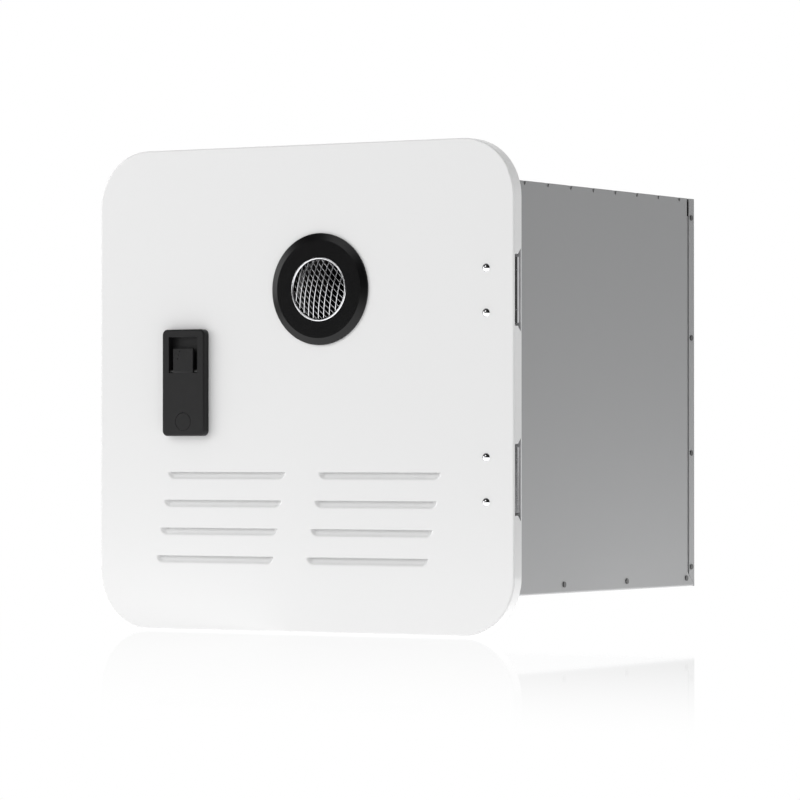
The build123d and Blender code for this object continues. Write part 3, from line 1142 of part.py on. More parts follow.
with BuildPart() as water_block:
    block((WATER_X - BLOCK_WIDTH / 2, BLOCK_FRONT, TRAY_FLOOR),
          (WATER_X + BLOCK_WIDTH / 2, BLOCK_BACK, BLOCK_TOP))
    chamfer(water_block.edges().filter_by(Axis.Z), CHAMBER_WALL * 2)
save(water_block, "water_block")

with BuildPart() as riser_pipe:
    pipe([(WATER_X, BLOCK_Y, BLOCK_TOP), (WATER_X, BLOCK_Y, TUBE_Z), (TUBE_END, BLOCK_Y, TUBE_Z)],
         TUBE_RADIUS, TUBE_WALL, PIPE_BEND)
save(riser_pipe, "riser_pipe")

with BuildPart() as hot_pipe:
    pipe([(TUBE_END, RUN_DEPTHS[-1], TUBE_Z), (HOT_X, RUN_DEPTHS[-1], TUBE_Z),
          (HOT_X, SOCKET_FRONT, TUBE_Z)], TUBE_RADIUS, TUBE_WALL, PIPE_BEND)
save(hot_pipe, "hot_pipe")

DRAIN_FRONT = SERVICE_SETBACK - DRAIN_RADIUS
with BuildPart() as drain_plug:
    rod(DRAIN_RADIUS, (WATER_X, DRAIN_FRONT, DRAIN_Z), (WATER_X, BLOCK_FRONT, DRAIN_Z))
    with BuildSketch(front_plane(DRAIN_FRONT)):
        with Locations((WATER_X, DRAIN_Z)):
            RegularPolygon(DRAIN_RADIUS + SCREW_SHANK / 2, 6)
    extrude(amount=DRAIN_RADIUS / 2)
save(drain_plug, "drain_plug")

# Relief valve with two ears and a pin for its test lever
RELIEF_FRONT = SERVICE_SETBACK - LEVER_SHEET * 2
LEVER_Y = RELIEF_FRONT - LEVER_BARREL - LEVER_PLAY
LEVER_Z = RELIEF_Z + RELIEF_RADIUS - LEVER_BARREL
EAR_INNER = LEVER_WIDTH / 2 + LEVER_PLAY
EAR_OUTER = EAR_INNER + LEVER_SHEET
with BuildPart() as relief_valve:
    rod(RELIEF_RADIUS, (WATER_X, RELIEF_FRONT, RELIEF_Z), (WATER_X, BLOCK_FRONT, RELIEF_Z))
    for side in SIDES:
        left, right = sorted((WATER_X + side * EAR_INNER, WATER_X + side * EAR_OUTER))
        block((left, LEVER_Y - LEVER_BARREL, LEVER_Z - LEVER_BARREL),
              (right, RELIEF_FRONT + LEVER_BARREL, LEVER_Z + LEVER_BARREL))
    rod(LEVER_PIN_RADIUS, (WATER_X - EAR_OUTER, LEVER_Y, LEVER_Z), (WATER_X + EAR_OUTER, LEVER_Y, LEVER_Z))
save(relief_valve, "relief_valve")

with BuildPart() as relief_lever:
    rod(LEVER_BARREL, (WATER_X - LEVER_WIDTH / 2, LEVER_Y, LEVER_Z),
        (WATER_X + LEVER_WIDTH / 2, LEVER_Y, LEVER_Z))
    block((WATER_X - LEVER_WIDTH / 2, LEVER_Y - LEVER_BARREL, LEVER_Z - LEVER_LENGTH),
          (WATER_X + LEVER_WIDTH / 2, LEVER_Y - LEVER_BARREL + LEVER_SHEET, LEVER_Z))
    rod(LEVER_PIN_RADIUS + RUNNING_CLEARANCE, (WATER_X - LEVER_WIDTH, LEVER_Y, LEVER_Z),
        (WATER_X + LEVER_WIDTH, LEVER_Y, LEVER_Z), mode=Mode.SUBTRACT)
save(relief_lever, "relief_lever")

# Fan behind the burner box
with BuildPart() as fan_housing:
    rod(FAN_RADIUS, (CENTRE_X, CHAMBER_BACK, FAN_Z), (CENTRE_X, FAN_BACK, FAN_Z))
    block((CENTRE_X - FAN_RADIUS / 2, CHAMBER_BACK, TRAY_FLOOR),
          (CENTRE_X + FAN_RADIUS / 2, FAN_BACK, FAN_Z))
    rod(FAN_RADIUS - FAN_WALL, (CENTRE_X, CHAMBER_BACK, FAN_Z), (CENTRE_X, FAN_BACK - FAN_WALL, FAN_Z),
        mode=Mode.SUBTRACT)
    with BuildSketch(front_plane(FAN_BACK)):
        with Locations((CENTRE_X, FAN_Z)):
            Circle(FAN_SHAFT_RADIUS + ARM_PLAY)
            with PolarLocations((MOTOR_RADIUS + FAN_RADIUS) / 2, FAN_BLADES):
                Circle((FAN_RADIUS - MOTOR_RADIUS) / 2 - 2 * FAN_WALL)
    extrude(amount=FAN_WALL, mode=Mode.SUBTRACT)
save(fan_housing, "fan_housing")

WHEEL_FRONT = CHAMBER_BACK + (FAN_DEPTH - FAN_WHEEL_DEPTH) / 2
WHEEL_BACK = WHEEL_FRONT + FAN_WHEEL_DEPTH
WHEEL_MIDDLE = (WHEEL_FRONT + WHEEL_BACK) / 2
with BuildPart() as fan_wheel:
    rod(FAN_HUB_RADIUS, (CENTRE_X, WHEEL_FRONT, FAN_Z), (CENTRE_X, WHEEL_BACK, FAN_Z))
    rod(FAN_SHAFT_RADIUS, (CENTRE_X, WHEEL_BACK, FAN_Z), (CENTRE_X, FAN_BACK + MOTOR_DEPTH / 2, FAN_Z))
    with Locations(Plane(origin=(CENTRE_X, WHEEL_MIDDLE, FAN_Z), z_dir=(0, 1, 0))):
        with PolarLocations((FAN_HUB_RADIUS + FAN_WHEEL_RADIUS) / 2 - FAN_BLADE_SHEET / 2, FAN_BLADES):
            Box(FAN_WHEEL_RADIUS - FAN_HUB_RADIUS + FAN_BLADE_SHEET, FAN_BLADE_SHEET,
                FAN_WHEEL_DEPTH - FAN_BLADE_SHEET, rotation=(FAN_BLADE_ANGLE, 0, 0))
save(fan_wheel, "fan_wheel")

with BuildPart() as fan_motor:
    rod(MOTOR_RADIUS, (CENTRE_X, FAN_BACK, FAN_Z), (CENTRE_X, FAN_BACK + MOTOR_DEPTH, FAN_Z))
    rod(FAN_SHAFT_RADIUS + RUNNING_CLEARANCE, (CENTRE_X, FAN_BACK, FAN_Z),
        (CENTRE_X, FAN_BACK + MOTOR_DEPTH / 2 + ARM_PLAY, FAN_Z), mode=Mode.SUBTRACT)
    fillet(fan_motor.faces().sort_by(Axis.Y)[-1].edges(), FAN_SHAFT_RADIUS)
save(fan_motor, "fan_motor")

# Control box: a cover on the back of the service plate, with a board on posts inside it
CONTROL_RIGHT = CONTROL_LEFT + CONTROL_WIDTH
CONTROL_TOP = CONTROL_BASE + CONTROL_HEIGHT
CONTROL_BACK = SERVICE_BACK + CONTROL_DEPTH
BOARD_BACK = CONTROL_BACK - CONTROL_WALL - BOARD_STANDOFF
BOARD_FRONT = BOARD_BACK - BOARD_SHEET
BOARD_INSET = 2 * CONTROL_WALL
POST_INSET = 2 * BOARD_INSET
BOARD_MIDDLE = CONTROL_LEFT + CONTROL_WIDTH / 2
with BuildPart() as control_box:
    block((CONTROL_LEFT, SERVICE_BACK, CONTROL_BASE), (CONTROL_RIGHT, CONTROL_BACK, CONTROL_TOP))
    fillet(control_box.edges().filter_by(Axis.Y), CONTROL_WALL)
    block((CONTROL_LEFT + CONTROL_WALL, SERVICE_BACK, CONTROL_BASE + CONTROL_WALL),
          (CONTROL_RIGHT - CONTROL_WALL, CONTROL_BACK - CONTROL_WALL, CONTROL_TOP - CONTROL_WALL),
          mode=Mode.SUBTRACT)
    for x in (CONTROL_LEFT + POST_INSET, CONTROL_RIGHT - POST_INSET):
        for z in (CONTROL_BASE + POST_INSET, CONTROL_TOP - POST_INSET):
            rod(CONTROL_WALL, (x, BOARD_BACK, z), (x, CONTROL_BACK, z))
save(control_box, "control_box")

with BuildPart() as circuit_board:
    block((CONTROL_LEFT + BOARD_INSET, BOARD_FRONT, CONTROL_BASE + BOARD_INSET),
          (CONTROL_RIGHT - BOARD_INSET, BOARD_BACK, CONTROL_TOP - BOARD_INSET))
    for share in BOARD_CHIPS:
        z = CONTROL_BASE + share * CONTROL_HEIGHT
        block((BOARD_MIDDLE - 2 * BOARD_STANDOFF, BOARD_FRONT - BOARD_STANDOFF, z - BOARD_STANDOFF),
              (BOARD_MIDDLE + 2 * BOARD_STANDOFF, BOARD_FRONT, z + BOARD_STANDOFF))
save(circuit_board, "circuit_board")

MODULE_CORNER = (CENTRE_X - CHAMBER_HALF, SERVICE_BACK + BOARD_STANDOFF, TRAY_FLOOR)
with BuildPart() as ignition_module:
    block(MODULE_CORNER, [low + size for low, size in zip(MODULE_CORNER, MODULE_SIZE)])
    fillet(ignition_module.edges().filter_by(Axis.Z), CONTROL_WALL)
save(ignition_module, "ignition_module")

# Power switch: a bezel on the service plate and a rocker on two stub pins
ROCKER_HALF = (SWITCH_WIDTH - 3 * SWITCH_WALL) / 2 - ROCKER_GAP
ROCKER_RADIUS = (SWITCH_HEIGHT - 3 * SWITCH_WALL) / 2 - ROCKER_GAP
POCKET_BACK = SERVICE_SETBACK + ROCKER_RADIUS + ROCKER_GAP
STUB_HALF = ROCKER_HALF + ROCKER_GAP + SWITCH_WALL / 2


def switch_block(width, height, front, back, mode=Mode.ADD):
    """Box centred on the switch."""
    block((SWITCH_X - width / 2, front, SWITCH_Z - height / 2),
          (SWITCH_X + width / 2, back, SWITCH_Z + height / 2), mode=mode)


with BuildPart() as switch_body:
    switch_block(SWITCH_WIDTH, SWITCH_HEIGHT, SERVICE_SETBACK - SWITCH_BEZEL, SERVICE_SETBACK)
    fillet(switch_body.edges().filter_by(Axis.Y), SWITCH_BEZEL)
    switch_block(SWITCH_HOLE[0] - GUIDE_CLEARANCE, SWITCH_HOLE[1] - GUIDE_CLEARANCE, SERVICE_SETBACK,
                 SERVICE_SETBACK + SWITCH_DEPTH)
    switch_block(2 * (ROCKER_HALF + ROCKER_GAP), 2 * (ROCKER_RADIUS + ROCKER_GAP),
                 SERVICE_SETBACK - SWITCH_BEZEL, POCKET_BACK, mode=Mode.SUBTRACT)
    rod(ROCKER_PIN_RADIUS + RUNNING_CLEARANCE,
        (SWITCH_X - STUB_HALF - ROCKER_GAP, SERVICE_SETBACK, SWITCH_Z),
        (SWITCH_X + STUB_HALF + ROCKER_GAP, SERVICE_SETBACK, SWITCH_Z), mode=Mode.SUBTRACT)
save(switch_body, "switch_body")

TILT = math.radians(ROCKER_TILT)
ROCKER_PLANE = Plane(origin=(SWITCH_X, SERVICE_SETBACK, SWITCH_Z),
                     x_dir=(0, math.cos(TILT), math.sin(TILT)), z_dir=(1, 0, 0))
with BuildPart() as power_rocker:
    with BuildSketch(ROCKER_PLANE):
        Circle(ROCKER_RADIUS)
        with BuildLine():
            Polyline((-ROCKER_CROOK, 0), (-ROCKER_WING, ROCKER_RADIUS), (-2 * ROCKER_RADIUS, ROCKER_RADIUS),
                     (-2 * ROCKER_RADIUS, -ROCKER_RADIUS), (-ROCKER_WING, -ROCKER_RADIUS), close=True)
        make_face(mode=Mode.SUBTRACT)
    extrude(amount=ROCKER_HALF, both=True)
    rod(ROCKER_PIN_RADIUS, (SWITCH_X - STUB_HALF, SERVICE_SETBACK, SWITCH_Z),
        (SWITCH_X + STUB_HALF, SERVICE_SETBACK, SWITCH_Z))
save(power_rocker, "power_rocker")

# Cable gland in the rear cover, and the loom from it to the control box
GLAND_FRONT = REAR_INNER - FITTING_SHOULDER
with BuildPart() as cable_gland:
    rod(GLAND_RADIUS, (GLAND_X, GLAND_FRONT, GLAND_Z), (GLAND_X, CASE_DEPTH + GLAND_RADIUS, GLAND_Z))
    rod(GLAND_RADIUS + FITTING_SHOULDER / 2, (GLAND_X, GLAND_FRONT, GLAND_Z),
        (GLAND_X, REAR_INNER, GLAND_Z))
    with BuildSketch(front_plane(CASE_DEPTH)):
        with Locations((GLAND_X, GLAND_Z)):
            RegularPolygon(GLAND_RADIUS + FITTING_SHOULDER / 2, 6)
    extrude(amount=-GLAND_RADIUS / 2)
    rod(GLAND_BORE, (GLAND_X, GLAND_FRONT, GLAND_Z), (GLAND_X, CASE_DEPTH + GLAND_RADIUS, GLAND_Z),
        mode=Mode.SUBTRACT)
save(cable_gland, "cable_gland")

with BuildPart() as wiring_loom:
    with BuildLine() as loom_route:
        FilletPolyline((GLAND_X, CASE_DEPTH, GLAND_Z), (GLAND_X, FAN_BACK, GLAND_Z),
                       (BOARD_MIDDLE, FAN_BACK, GLAND_Z), (BOARD_MIDDLE, CONTROL_BACK, GLAND_Z),
                       radius=LOOM_BEND)
    with BuildSketch(Plane(origin=(GLAND_X, CASE_DEPTH, GLAND_Z), z_dir=(0, -1, 0))):
        Circle(LOOM_RADIUS)
    sweep(path=loom_route.wire())
save(wiring_loom, "wiring_loom")
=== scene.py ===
import json
import math

import bpy
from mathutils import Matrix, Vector


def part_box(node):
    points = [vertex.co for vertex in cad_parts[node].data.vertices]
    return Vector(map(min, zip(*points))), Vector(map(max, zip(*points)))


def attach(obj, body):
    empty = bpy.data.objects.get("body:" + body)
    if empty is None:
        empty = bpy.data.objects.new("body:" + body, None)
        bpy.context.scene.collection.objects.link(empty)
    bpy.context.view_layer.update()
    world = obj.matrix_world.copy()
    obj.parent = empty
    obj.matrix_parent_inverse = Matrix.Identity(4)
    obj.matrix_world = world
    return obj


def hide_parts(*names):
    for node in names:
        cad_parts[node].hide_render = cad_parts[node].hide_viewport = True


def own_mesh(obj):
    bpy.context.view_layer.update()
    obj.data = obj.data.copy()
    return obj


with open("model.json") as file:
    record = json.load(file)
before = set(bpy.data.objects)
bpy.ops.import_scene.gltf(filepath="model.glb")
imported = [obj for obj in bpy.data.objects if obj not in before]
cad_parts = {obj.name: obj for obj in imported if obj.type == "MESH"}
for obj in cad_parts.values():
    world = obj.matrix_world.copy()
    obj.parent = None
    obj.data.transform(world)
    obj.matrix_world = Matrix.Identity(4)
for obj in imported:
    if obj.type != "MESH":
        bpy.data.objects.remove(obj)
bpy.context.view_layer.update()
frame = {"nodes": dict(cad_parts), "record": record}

# Looks of the recessed instant water heater. Metres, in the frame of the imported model.
NODES = frame["nodes"]
MM = 0.001
WHITE = (1, 1, 1, 1)

# Camera of the photograph
CAMERA_PLACE = (1.8101, -2.8919, -0.0502)
CAMERA_YAW = 30.874
CAMERA_PITCH = 0.694
CAMERA_LENS = 195.85
CAMERA_SENSOR = 36.0
CAMERA_REACH = 100.0

# Broken edges of the CAD solids
EDGE_WIDTHS = {
    "latch_body": 0.6 * MM,
    "latch_paddle": 0.5 * MM,
    "lock_blank": 0.3 * MM,
    "latch_bolt": 0.3 * MM,
    "latch_keeper": 0.25 * MM,
    "drain_plug": 0.5 * MM,
    "relief_valve": 0.4 * MM,
    "relief_lever": 0.3 * MM,
    "switch_body": 0.4 * MM,
    "power_rocker": 0.3 * MM,
    "door_seal": 1.5 * MM,
    "water_inlet": 0.4 * MM,
    "water_outlet": 0.4 * MM,
    "gas_inlet": 0.4 * MM,
    "cable_gland": 0.4 * MM,
}
SPRING_EDGE = 0.1 * MM
EDGE_SEGMENTS = 2
EDGE_ANGLE = math.radians(40)
FLAT_ANGLE = math.radians(1)
WELD_DISTANCE = 1e-6

# Threads on the pipe ends behind the rear cover. The runout is in turns, the half base in pitches.
THREADED = ("water_inlet", "water_outlet", "gas_inlet")
THREAD_SHOULDER = 5.0 * MM
THREAD_START = 6.0 * MM
THREAD_END = 1.0 * MM
THREAD_PITCH = 1.8 * MM
THREAD_HEIGHT = 0.8 * MM
THREAD_SINK = 0.2 * MM
THREAD_HALF_BASE = 0.45
THREAD_STEPS = 36
THREAD_RUNOUT = 0.6

# Grain of the finishes
PATCH_DETAIL = 4.0
GLOSS_DETAIL = 5.0
GRAIN_DETAIL = 3.0
GLOSS_FINENESS = 3
GLOSS_SPAN = (0.1, 0.9)
TINT_SPAN = (0.25, 0.75)
GRAIN_DEPTH = 0.2 * MM
SPANGLE_SCALE = 160.0
COAT_ROUGH = 0.15

# Finishes by material slot, and a lighter, less metallic copy of galvanised for the wall flange: painted
# light that brightens it where it lies in shade behind the door
LOOKS = {
    "door_white": dict(color=(0.80, 0.80, 0.80), rough=0.2, shade=0.003, patch=6.0, rough_shade=0.005,
                       grain=700.0, bump=0.03, coat=0.15),
    "seal_foam": dict(color=(0.03, 0.03, 0.032), rough=0.9, shade=0.25, patch=300.0, grain=2500.0, bump=0.5),
    "galvanised": dict(color=(0.277, 0.279, 0.282), rough=0.5, metal=0.5, shade=0.004, patch=9.0,
                       rough_shade=0.01, grain=1500.0, bump=0.03, spangle=0.08),
    # Painted light: galvanised made lighter and less metallic, so the wall flange in the door's shadow looks
    # lit
    "flange_zinc_painted_light": dict(color=(0.66, 0.66, 0.67), rough=0.45, metal=0.2, shade=0.01, patch=9.0,
                        rough_shade=0.01, grain=1500.0, bump=0.03, spangle=0.08),
    "black_steel": dict(color=(0.02, 0.02, 0.02), rough=0.4, shade=0.2, patch=200.0),
    "hinge_steel": dict(color=(0.5, 0.5, 0.51), rough=0.1, metal=1.0, patch=120.0, grain=1800.0, bump=0.02),
    "outlet_black": dict(color=(0.0015, 0.0015, 0.0017), rough=0.24, shade=0.15, patch=80.0,
                         rough_shade=0.02, grain=1600.0, bump=0.02, specular=0.2),
    "screen_steel": dict(color=(0.5, 0.5, 0.51), rough=0.2, metal=1.0, shade=0.06, patch=250.0),
    "latch_black": dict(color=(0.006, 0.006, 0.0063), rough=0.42, shade=0.15, patch=120.0,
                        rough_shade=0.03, grain=2200.0, bump=0.08, specular=0.21),
    "spring_steel": dict(color=(0.3, 0.305, 0.32), rough=0.34, metal=1.0, shade=0.08, patch=90.0),
    "plain_steel": dict(color=(0.12, 0.115, 0.11), rough=0.55, metal=1.0, shade=0.15, patch=40.0),
    "brass": dict(color=(0.55, 0.39, 0.17), rough=0.34, metal=1.0, shade=0.1, patch=60.0),
    "copper": dict(color=(0.75, 0.38, 0.24), rough=0.34, metal=1.0, shade=0.12, patch=45.0),
    "cast_aluminium": dict(color=(0.6, 0.6, 0.61), rough=0.5, metal=1.0, shade=0.06, patch=70.0,
                           grain=1200.0, bump=0.2),
    "coil_black": dict(color=(0.03, 0.03, 0.03), rough=0.5, shade=0.15, patch=100.0, bump=0.1),
    "ceramic": dict(color=(0.82, 0.79, 0.72), rough=0.2, shade=0.05, patch=80.0),
    "seal_silicone": dict(color=(0.2, 0.2, 0.2), rough=0.6, shade=0.1, patch=90.0),
    "control_plastic": dict(color=(0.12, 0.12, 0.125), rough=0.5, shade=0.08, patch=60.0, bump=0.1),
    "board_green": dict(color=(0.02, 0.14, 0.05), rough=0.3, shade=0.2, patch=150.0),
    "switch_black": dict(color=(0.015, 0.015, 0.015), rough=0.25, shade=0.15, patch=120.0),
    "loom_black": dict(color=(0.02, 0.02, 0.02), rough=0.6, shade=0.2, patch=300.0, bump=0.3),
}
# The wall flange takes the lightened galvanised copy, painted light in place of its shade behind the door
PAINTED_LIGHT_FINISHES = {"front_frame": "flange_zinc_painted_light"}

# Room: soft light from left to right, and what mirrors see from front to back
ROOM_LEFT = 0.85
ROOM_RIGHT = 0.2
ROOM_FRONT = 0.03
ROOM_BACK = 1.0
ROOM_TURN = (-0.2, 0.8)

# Floor
FLOOR_Z = -0.1912
FLOOR_HALF = 40.0
FLOOR_LIGHT = 0.98
FLOOR_POOL = 2.6
FLOOR_FAR = 0.4
POOL_START = 0.8
POOL_END = 2.8
MIRROR_REACH = 1.0
MIRROR_SHARE = 0.28
MIRROR_ROUGH = 0.03

# Lamps: place, target, size and power
LAMPS = {
    "key": ((-8.0, -5.6, 0.8), (0, 0, 0), (5.0, 5.0), 300.0),
    "fill": ((-1.0, -4.0, 3.0), (0, 0, 0), (2.5, 2.5), 45.0),
    "foot": ((-0.2, -1.3, -0.16), (0, 0, -0.15), (1.6, 0.2), 0.2),
}


def link(obj):
    bpy.context.scene.collection.objects.link(obj)
    return obj


def map_range(tree, value, start, end, first, last, curve="LINEAR"):
    """Carry a value over from one range to another."""
    node = tree.nodes.new("ShaderNodeMapRange")
    node.interpolation_type = curve
    node.inputs["From Min"].default_value = start
    node.inputs["From Max"].default_value = end
    node.inputs["To Min"].default_value = first
    node.inputs["To Max"].default_value = last
    tree.links.new(value, node.inputs["Value"])
    return node.outputs["Result"]


def mix_shaders(tree, share, first, second):
    node = tree.nodes.new("ShaderNodeMixShader")
    tree.links.new(share, node.inputs["Fac"])
    tree.links.new(first, node.inputs[1])
    tree.links.new(second, node.inputs[2])
    return node.outputs["Shader"]


def white_glow(tree, kind, strength):
    """White light from a node of this kind, with an even strength or one that a socket gives."""
    node = tree.nodes.new(kind)
    node.inputs["Color"].default_value = WHITE
    if isinstance(strength, float):
        node.inputs["Strength"].default_value = strength
    else:
        tree.links.new(strength, node.inputs["Strength"])
    return node.outputs[0]


def make_camera():
    data = bpy.data.cameras.new("camera")
    data.lens = CAMERA_LENS
    data.sensor_width = CAMERA_SENSOR
    data.clip_end = CAMERA_REACH
    camera = link(bpy.data.objects.new("camera", data))
    camera.location = CAMERA_PLACE
    camera.rotation_euler = (math.radians(90 + CAMERA_PITCH), 0, math.radians(CAMERA_YAW))
    bpy.context.scene.camera = camera


def area_light(name, place, target, size, power):
    data = bpy.data.lights.new(name, "AREA")
    data.shape = "RECTANGLE"
    data.size, data.size_y = size
    data.energy = power
    lamp = link(bpy.data.objects.new(name, data))
    lamp.location = place
    lamp.rotation_euler = (Vector(target) - Vector(place)).to_track_quat("-Z", "Y").to_euler()


def make_world():
    """White paper behind the object, a dim room in front of it for mirrors, and soft light from the left."""
    world = bpy.data.worlds.new("studio")
    bpy.context.scene.world = world
    world.use_nodes = True
    tree = world.node_tree
    tree.nodes.clear()
    out = tree.nodes.new("ShaderNodeOutputWorld")
    path = tree.nodes.new("ShaderNodeLightPath")
    place = tree.nodes.new("ShaderNodeTexCoord")
    split = tree.nodes.new("ShaderNodeSeparateXYZ")
    tree.links.new(place.outputs["Generated"], split.inputs["Vector"])
    along = map_range(tree, split.outputs["Y"], *ROOM_TURN, ROOM_FRONT, ROOM_BACK, "SMOOTHSTEP")
    across = map_range(tree, split.outputs["X"], -1.0, 1.0, ROOM_LEFT, ROOM_RIGHT, "SMOOTHSTEP")
    mirrored = white_glow(tree, "ShaderNodeBackground", along)
    soft = white_glow(tree, "ShaderNodeBackground", across)
    paper = white_glow(tree, "ShaderNodeBackground", 1.0)
    unseen = mix_shaders(tree, path.outputs["Is Diffuse Ray"], mirrored, soft)
    studio = mix_shaders(tree, path.outputs["Is Camera Ray"], unseen, paper)
    tree.links.new(studio, out.inputs["Surface"])


def make_floor():
    """White floor with a pool of light under the object and a faint mirror around it."""
    mesh = bpy.data.meshes.new("floor")
    half = FLOOR_HALF
    corners = [(-half, -half, 0), (half, -half, 0), (half, half, 0), (-half, half, 0)]
    mesh.from_pydata(corners, [], [(0, 1, 2, 3)])
    floor = link(bpy.data.objects.new("floor", mesh))
    floor.location.z = FLOOR_Z
    mat = bpy.data.materials.new("floor_white")
    mat.use_nodes = True
    tree = mat.node_tree
    tree.nodes.clear()
    out = tree.nodes.new("ShaderNodeOutputMaterial")
    path = tree.nodes.new("ShaderNodeLightPath")
    mirror = tree.nodes.new("ShaderNodeBsdfGlossy")
    mirror.inputs["Color"].default_value = WHITE
    mirror.inputs["Roughness"].default_value = MIRROR_ROUGH
    place = tree.nodes.new("ShaderNodeTexCoord")
    split = tree.nodes.new("ShaderNodeSeparateXYZ")
    tree.links.new(place.outputs["Object"], split.inputs["Vector"])
    away = tree.nodes.new("ShaderNodeMath")
    away.operation = "ABSOLUTE"
    tree.links.new(split.outputs["Y"], away.inputs[0])
    reach = tree.nodes.new("ShaderNodeVectorMath")
    reach.operation = "LENGTH"
    tree.links.new(place.outputs["Object"], reach.inputs[0])
    pool = map_range(tree, reach.outputs["Value"], POOL_START, POOL_END, FLOOR_POOL, FLOOR_FAR, "SMOOTHSTEP")
    share = map_range(tree, away.outputs["Value"], 0.0, MIRROR_REACH, MIRROR_SHARE, 0.0, "SMOOTHSTEP")
    pooled = white_glow(tree, "ShaderNodeEmission", pool)
    even = white_glow(tree, "ShaderNodeEmission", FLOOR_LIGHT)
    paper = white_glow(tree, "ShaderNodeEmission", 1.0)
    unseen = mix_shaders(tree, path.outputs["Is Diffuse Ray"], pooled, even)
    seen = mix_shaders(tree, share, paper, mirror.outputs["BSDF"])
    tree.links.new(mix_shaders(tree, path.outputs["Is Camera Ray"], unseen, seen), out.inputs["Surface"])
    mesh.materials.append(mat)


def surface(name, color, rough, metal=0.0, shade=0.04, patch=30.0, rough_shade=0.06, grain=900.0, bump=0.05,
            coat=0.0, spangle=0.0, specular=0.5):
    """Procedural finish: broad colour patches, uneven gloss and a fine bumpy grain."""
    mat = bpy.data.materials.new(name)
    mat.use_nodes = True
    tree = mat.node_tree
    shader = tree.nodes["Principled BSDF"]
    shader.inputs["Metallic"].default_value = metal
    shader.inputs["Coat Weight"].default_value = coat
    shader.inputs["Coat Roughness"].default_value = COAT_ROUGH
    shader.inputs["Specular IOR Level"].default_value = specular
    place = tree.nodes.new("ShaderNodeTexCoord")

    def noise(scale, detail):
        node = tree.nodes.new("ShaderNodeTexNoise")
        node.inputs["Scale"].default_value = scale
        node.inputs["Detail"].default_value = detail
        tree.links.new(place.outputs["Object"], node.inputs["Vector"])
        return node.outputs["Fac"]

    patches = noise(patch, PATCH_DETAIL)
    if spangle:
        cells = tree.nodes.new("ShaderNodeTexVoronoi")
        cells.inputs["Scale"].default_value = SPANGLE_SCALE
        tree.links.new(place.outputs["Object"], cells.inputs["Vector"])
        split = tree.nodes.new("ShaderNodeSeparateColor")
        tree.links.new(cells.outputs["Color"], split.inputs["Color"])
        blend = tree.nodes.new("ShaderNodeMix")
        blend.inputs["Factor"].default_value = spangle
        tree.links.new(patches, blend.inputs["A"])
        tree.links.new(split.outputs["Red"], blend.inputs["B"])
        patches = blend.outputs["Result"]
    tint = tree.nodes.new("ShaderNodeValToRGB")
    dark, light = tint.color_ramp.elements
    dark.position, light.position = TINT_SPAN
    dark.color = [c * (1 - shade) for c in color] + [1]
    light.color = [min(1.0, c * (1 + shade)) for c in color] + [1]
    tree.links.new(patches, tint.inputs["Fac"])
    tree.links.new(tint.outputs["Color"], shader.inputs["Base Color"])
    gloss = noise(patch * GLOSS_FINENESS, GLOSS_DETAIL)
    tree.links.new(map_range(tree, gloss, *GLOSS_SPAN, rough - rough_shade, rough + rough_shade),
                   shader.inputs["Roughness"])
    rise = tree.nodes.new("ShaderNodeBump")
    rise.inputs["Strength"].default_value = bump
    rise.inputs["Distance"].default_value = GRAIN_DEPTH
    tree.links.new(noise(grain, GRAIN_DETAIL), rise.inputs["Height"])
    tree.links.new(rise.outputs["Normal"], shader.inputs["Normal"])
    return mat


def soften(node, width):
    """Break the sharp edges of a solid so that they catch the light."""
    weld = node.modifiers.new("weld", "WELD")
    weld.merge_threshold = WELD_DISTANCE
    flat = node.modifiers.new("flat", "DECIMATE")
    flat.decimate_type = "DISSOLVE"
    flat.angle_limit = FLAT_ANGLE
    bevel = node.modifiers.new("bevel", "BEVEL")
    bevel.width = width
    bevel.segments = EDGE_SEGMENTS
    bevel.limit_method = "ANGLE"
    bevel.angle_limit = EDGE_ANGLE


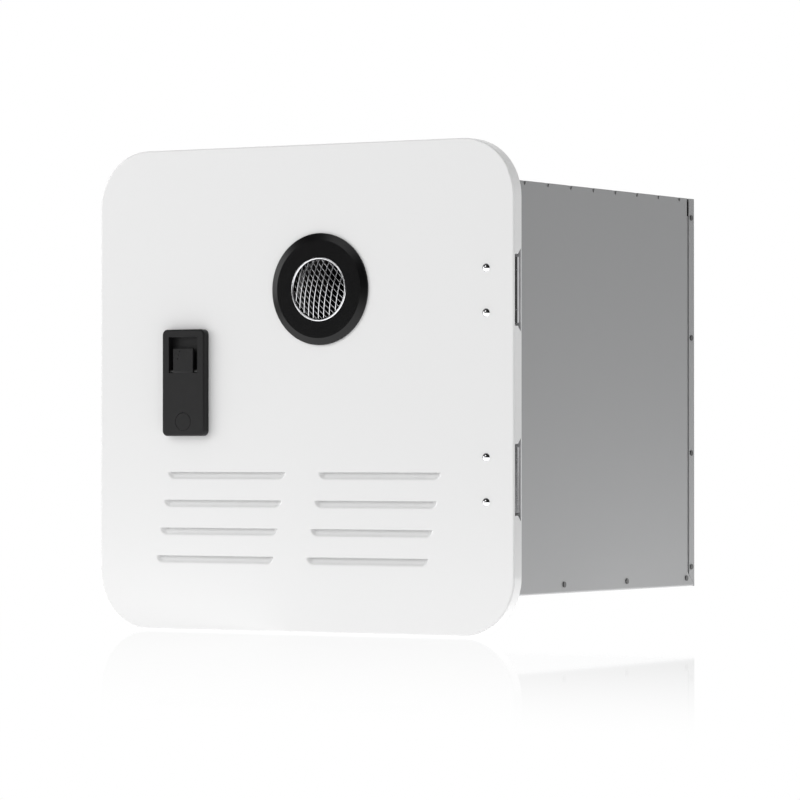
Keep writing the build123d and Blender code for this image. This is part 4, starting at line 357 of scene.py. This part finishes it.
def make_thread(node, rear):
    """Screw thread on a pipe end: a ridge of three sides that winds along the stub and runs out."""
    low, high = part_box(node)
    middle = (low + high) / 2
    radius = (high.x - low.x) / 2 - THREAD_SHOULDER
    start = rear + THREAD_START
    turns = (high.y - THREAD_END - start) / THREAD_PITCH
    count = int(turns * THREAD_STEPS)
    points = []
    for step in range(count + 1):
        turn = turns * step / count
        angle = 2 * math.pi * turn
        grow = min(1.0, turn / THREAD_RUNOUT, (turns - turn) / THREAD_RUNOUT)
        profile = ((-THREAD_SINK, -THREAD_HALF_BASE),
                   (THREAD_HEIGHT * grow, 0.0),
                   (-THREAD_SINK, THREAD_HALF_BASE))
        for height, slide in profile:
            points.append((middle.x + (radius + height) * math.cos(angle),
                           start + (turn + slide * grow) * THREAD_PITCH,
                           middle.z + (radius + height) * math.sin(angle)))
    faces = [(2, 1, 0), (3 * count, 3 * count + 1, 3 * count + 2)]
    for step in range(count):
        for side in range(3):
            here = 3 * step + side
            beside = 3 * step + (side + 1) % 3
            faces.append((here, beside, beside + 3, here + 3))
    mesh = bpy.data.meshes.new(node + "_thread")
    mesh.from_pydata(points, [], faces)
    mesh.materials.append(FINISHES["brass"])
    ridge = link(bpy.data.objects.new(node + "_thread", mesh))
    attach(ridge, "casing")


def make_spring():
    """Leaf spring over the latch bolt, which the rising bolt presses together; here a rigid copy of the CAD
    spring with broken edges, riding on the door.
    """
    solid = NODES["latch_spring"]
    spring = link(bpy.data.objects.new("latch_leaf_spring", solid.data.copy()))
    spring.matrix_world = solid.matrix_world
    soften(spring, SPRING_EDGE)
    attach(spring, "door")
    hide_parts("latch_spring")
    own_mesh(spring)


FINISHES = {name: surface(name, **look) for name, look in LOOKS.items()}
for entry in frame["record"]["subparts"]:
    data = NODES[entry["node"]].data
    data.materials.clear()
    data.materials.append(FINISHES[PAINTED_LIGHT_FINISHES.get(entry["node"], entry["material_slot"])])

for name, width in EDGE_WIDTHS.items():
    soften(NODES[name], width)

make_spring()
rear_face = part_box("rear_cover")[1].y
for name in THREADED:
    make_thread(name, rear_face)

make_camera()
make_world()
make_floor()
for name, (place, target, size, power) in LAMPS.items():
    area_light(name, place, target, size, power)
bpy.context.scene.view_settings.view_transform = "Standard"
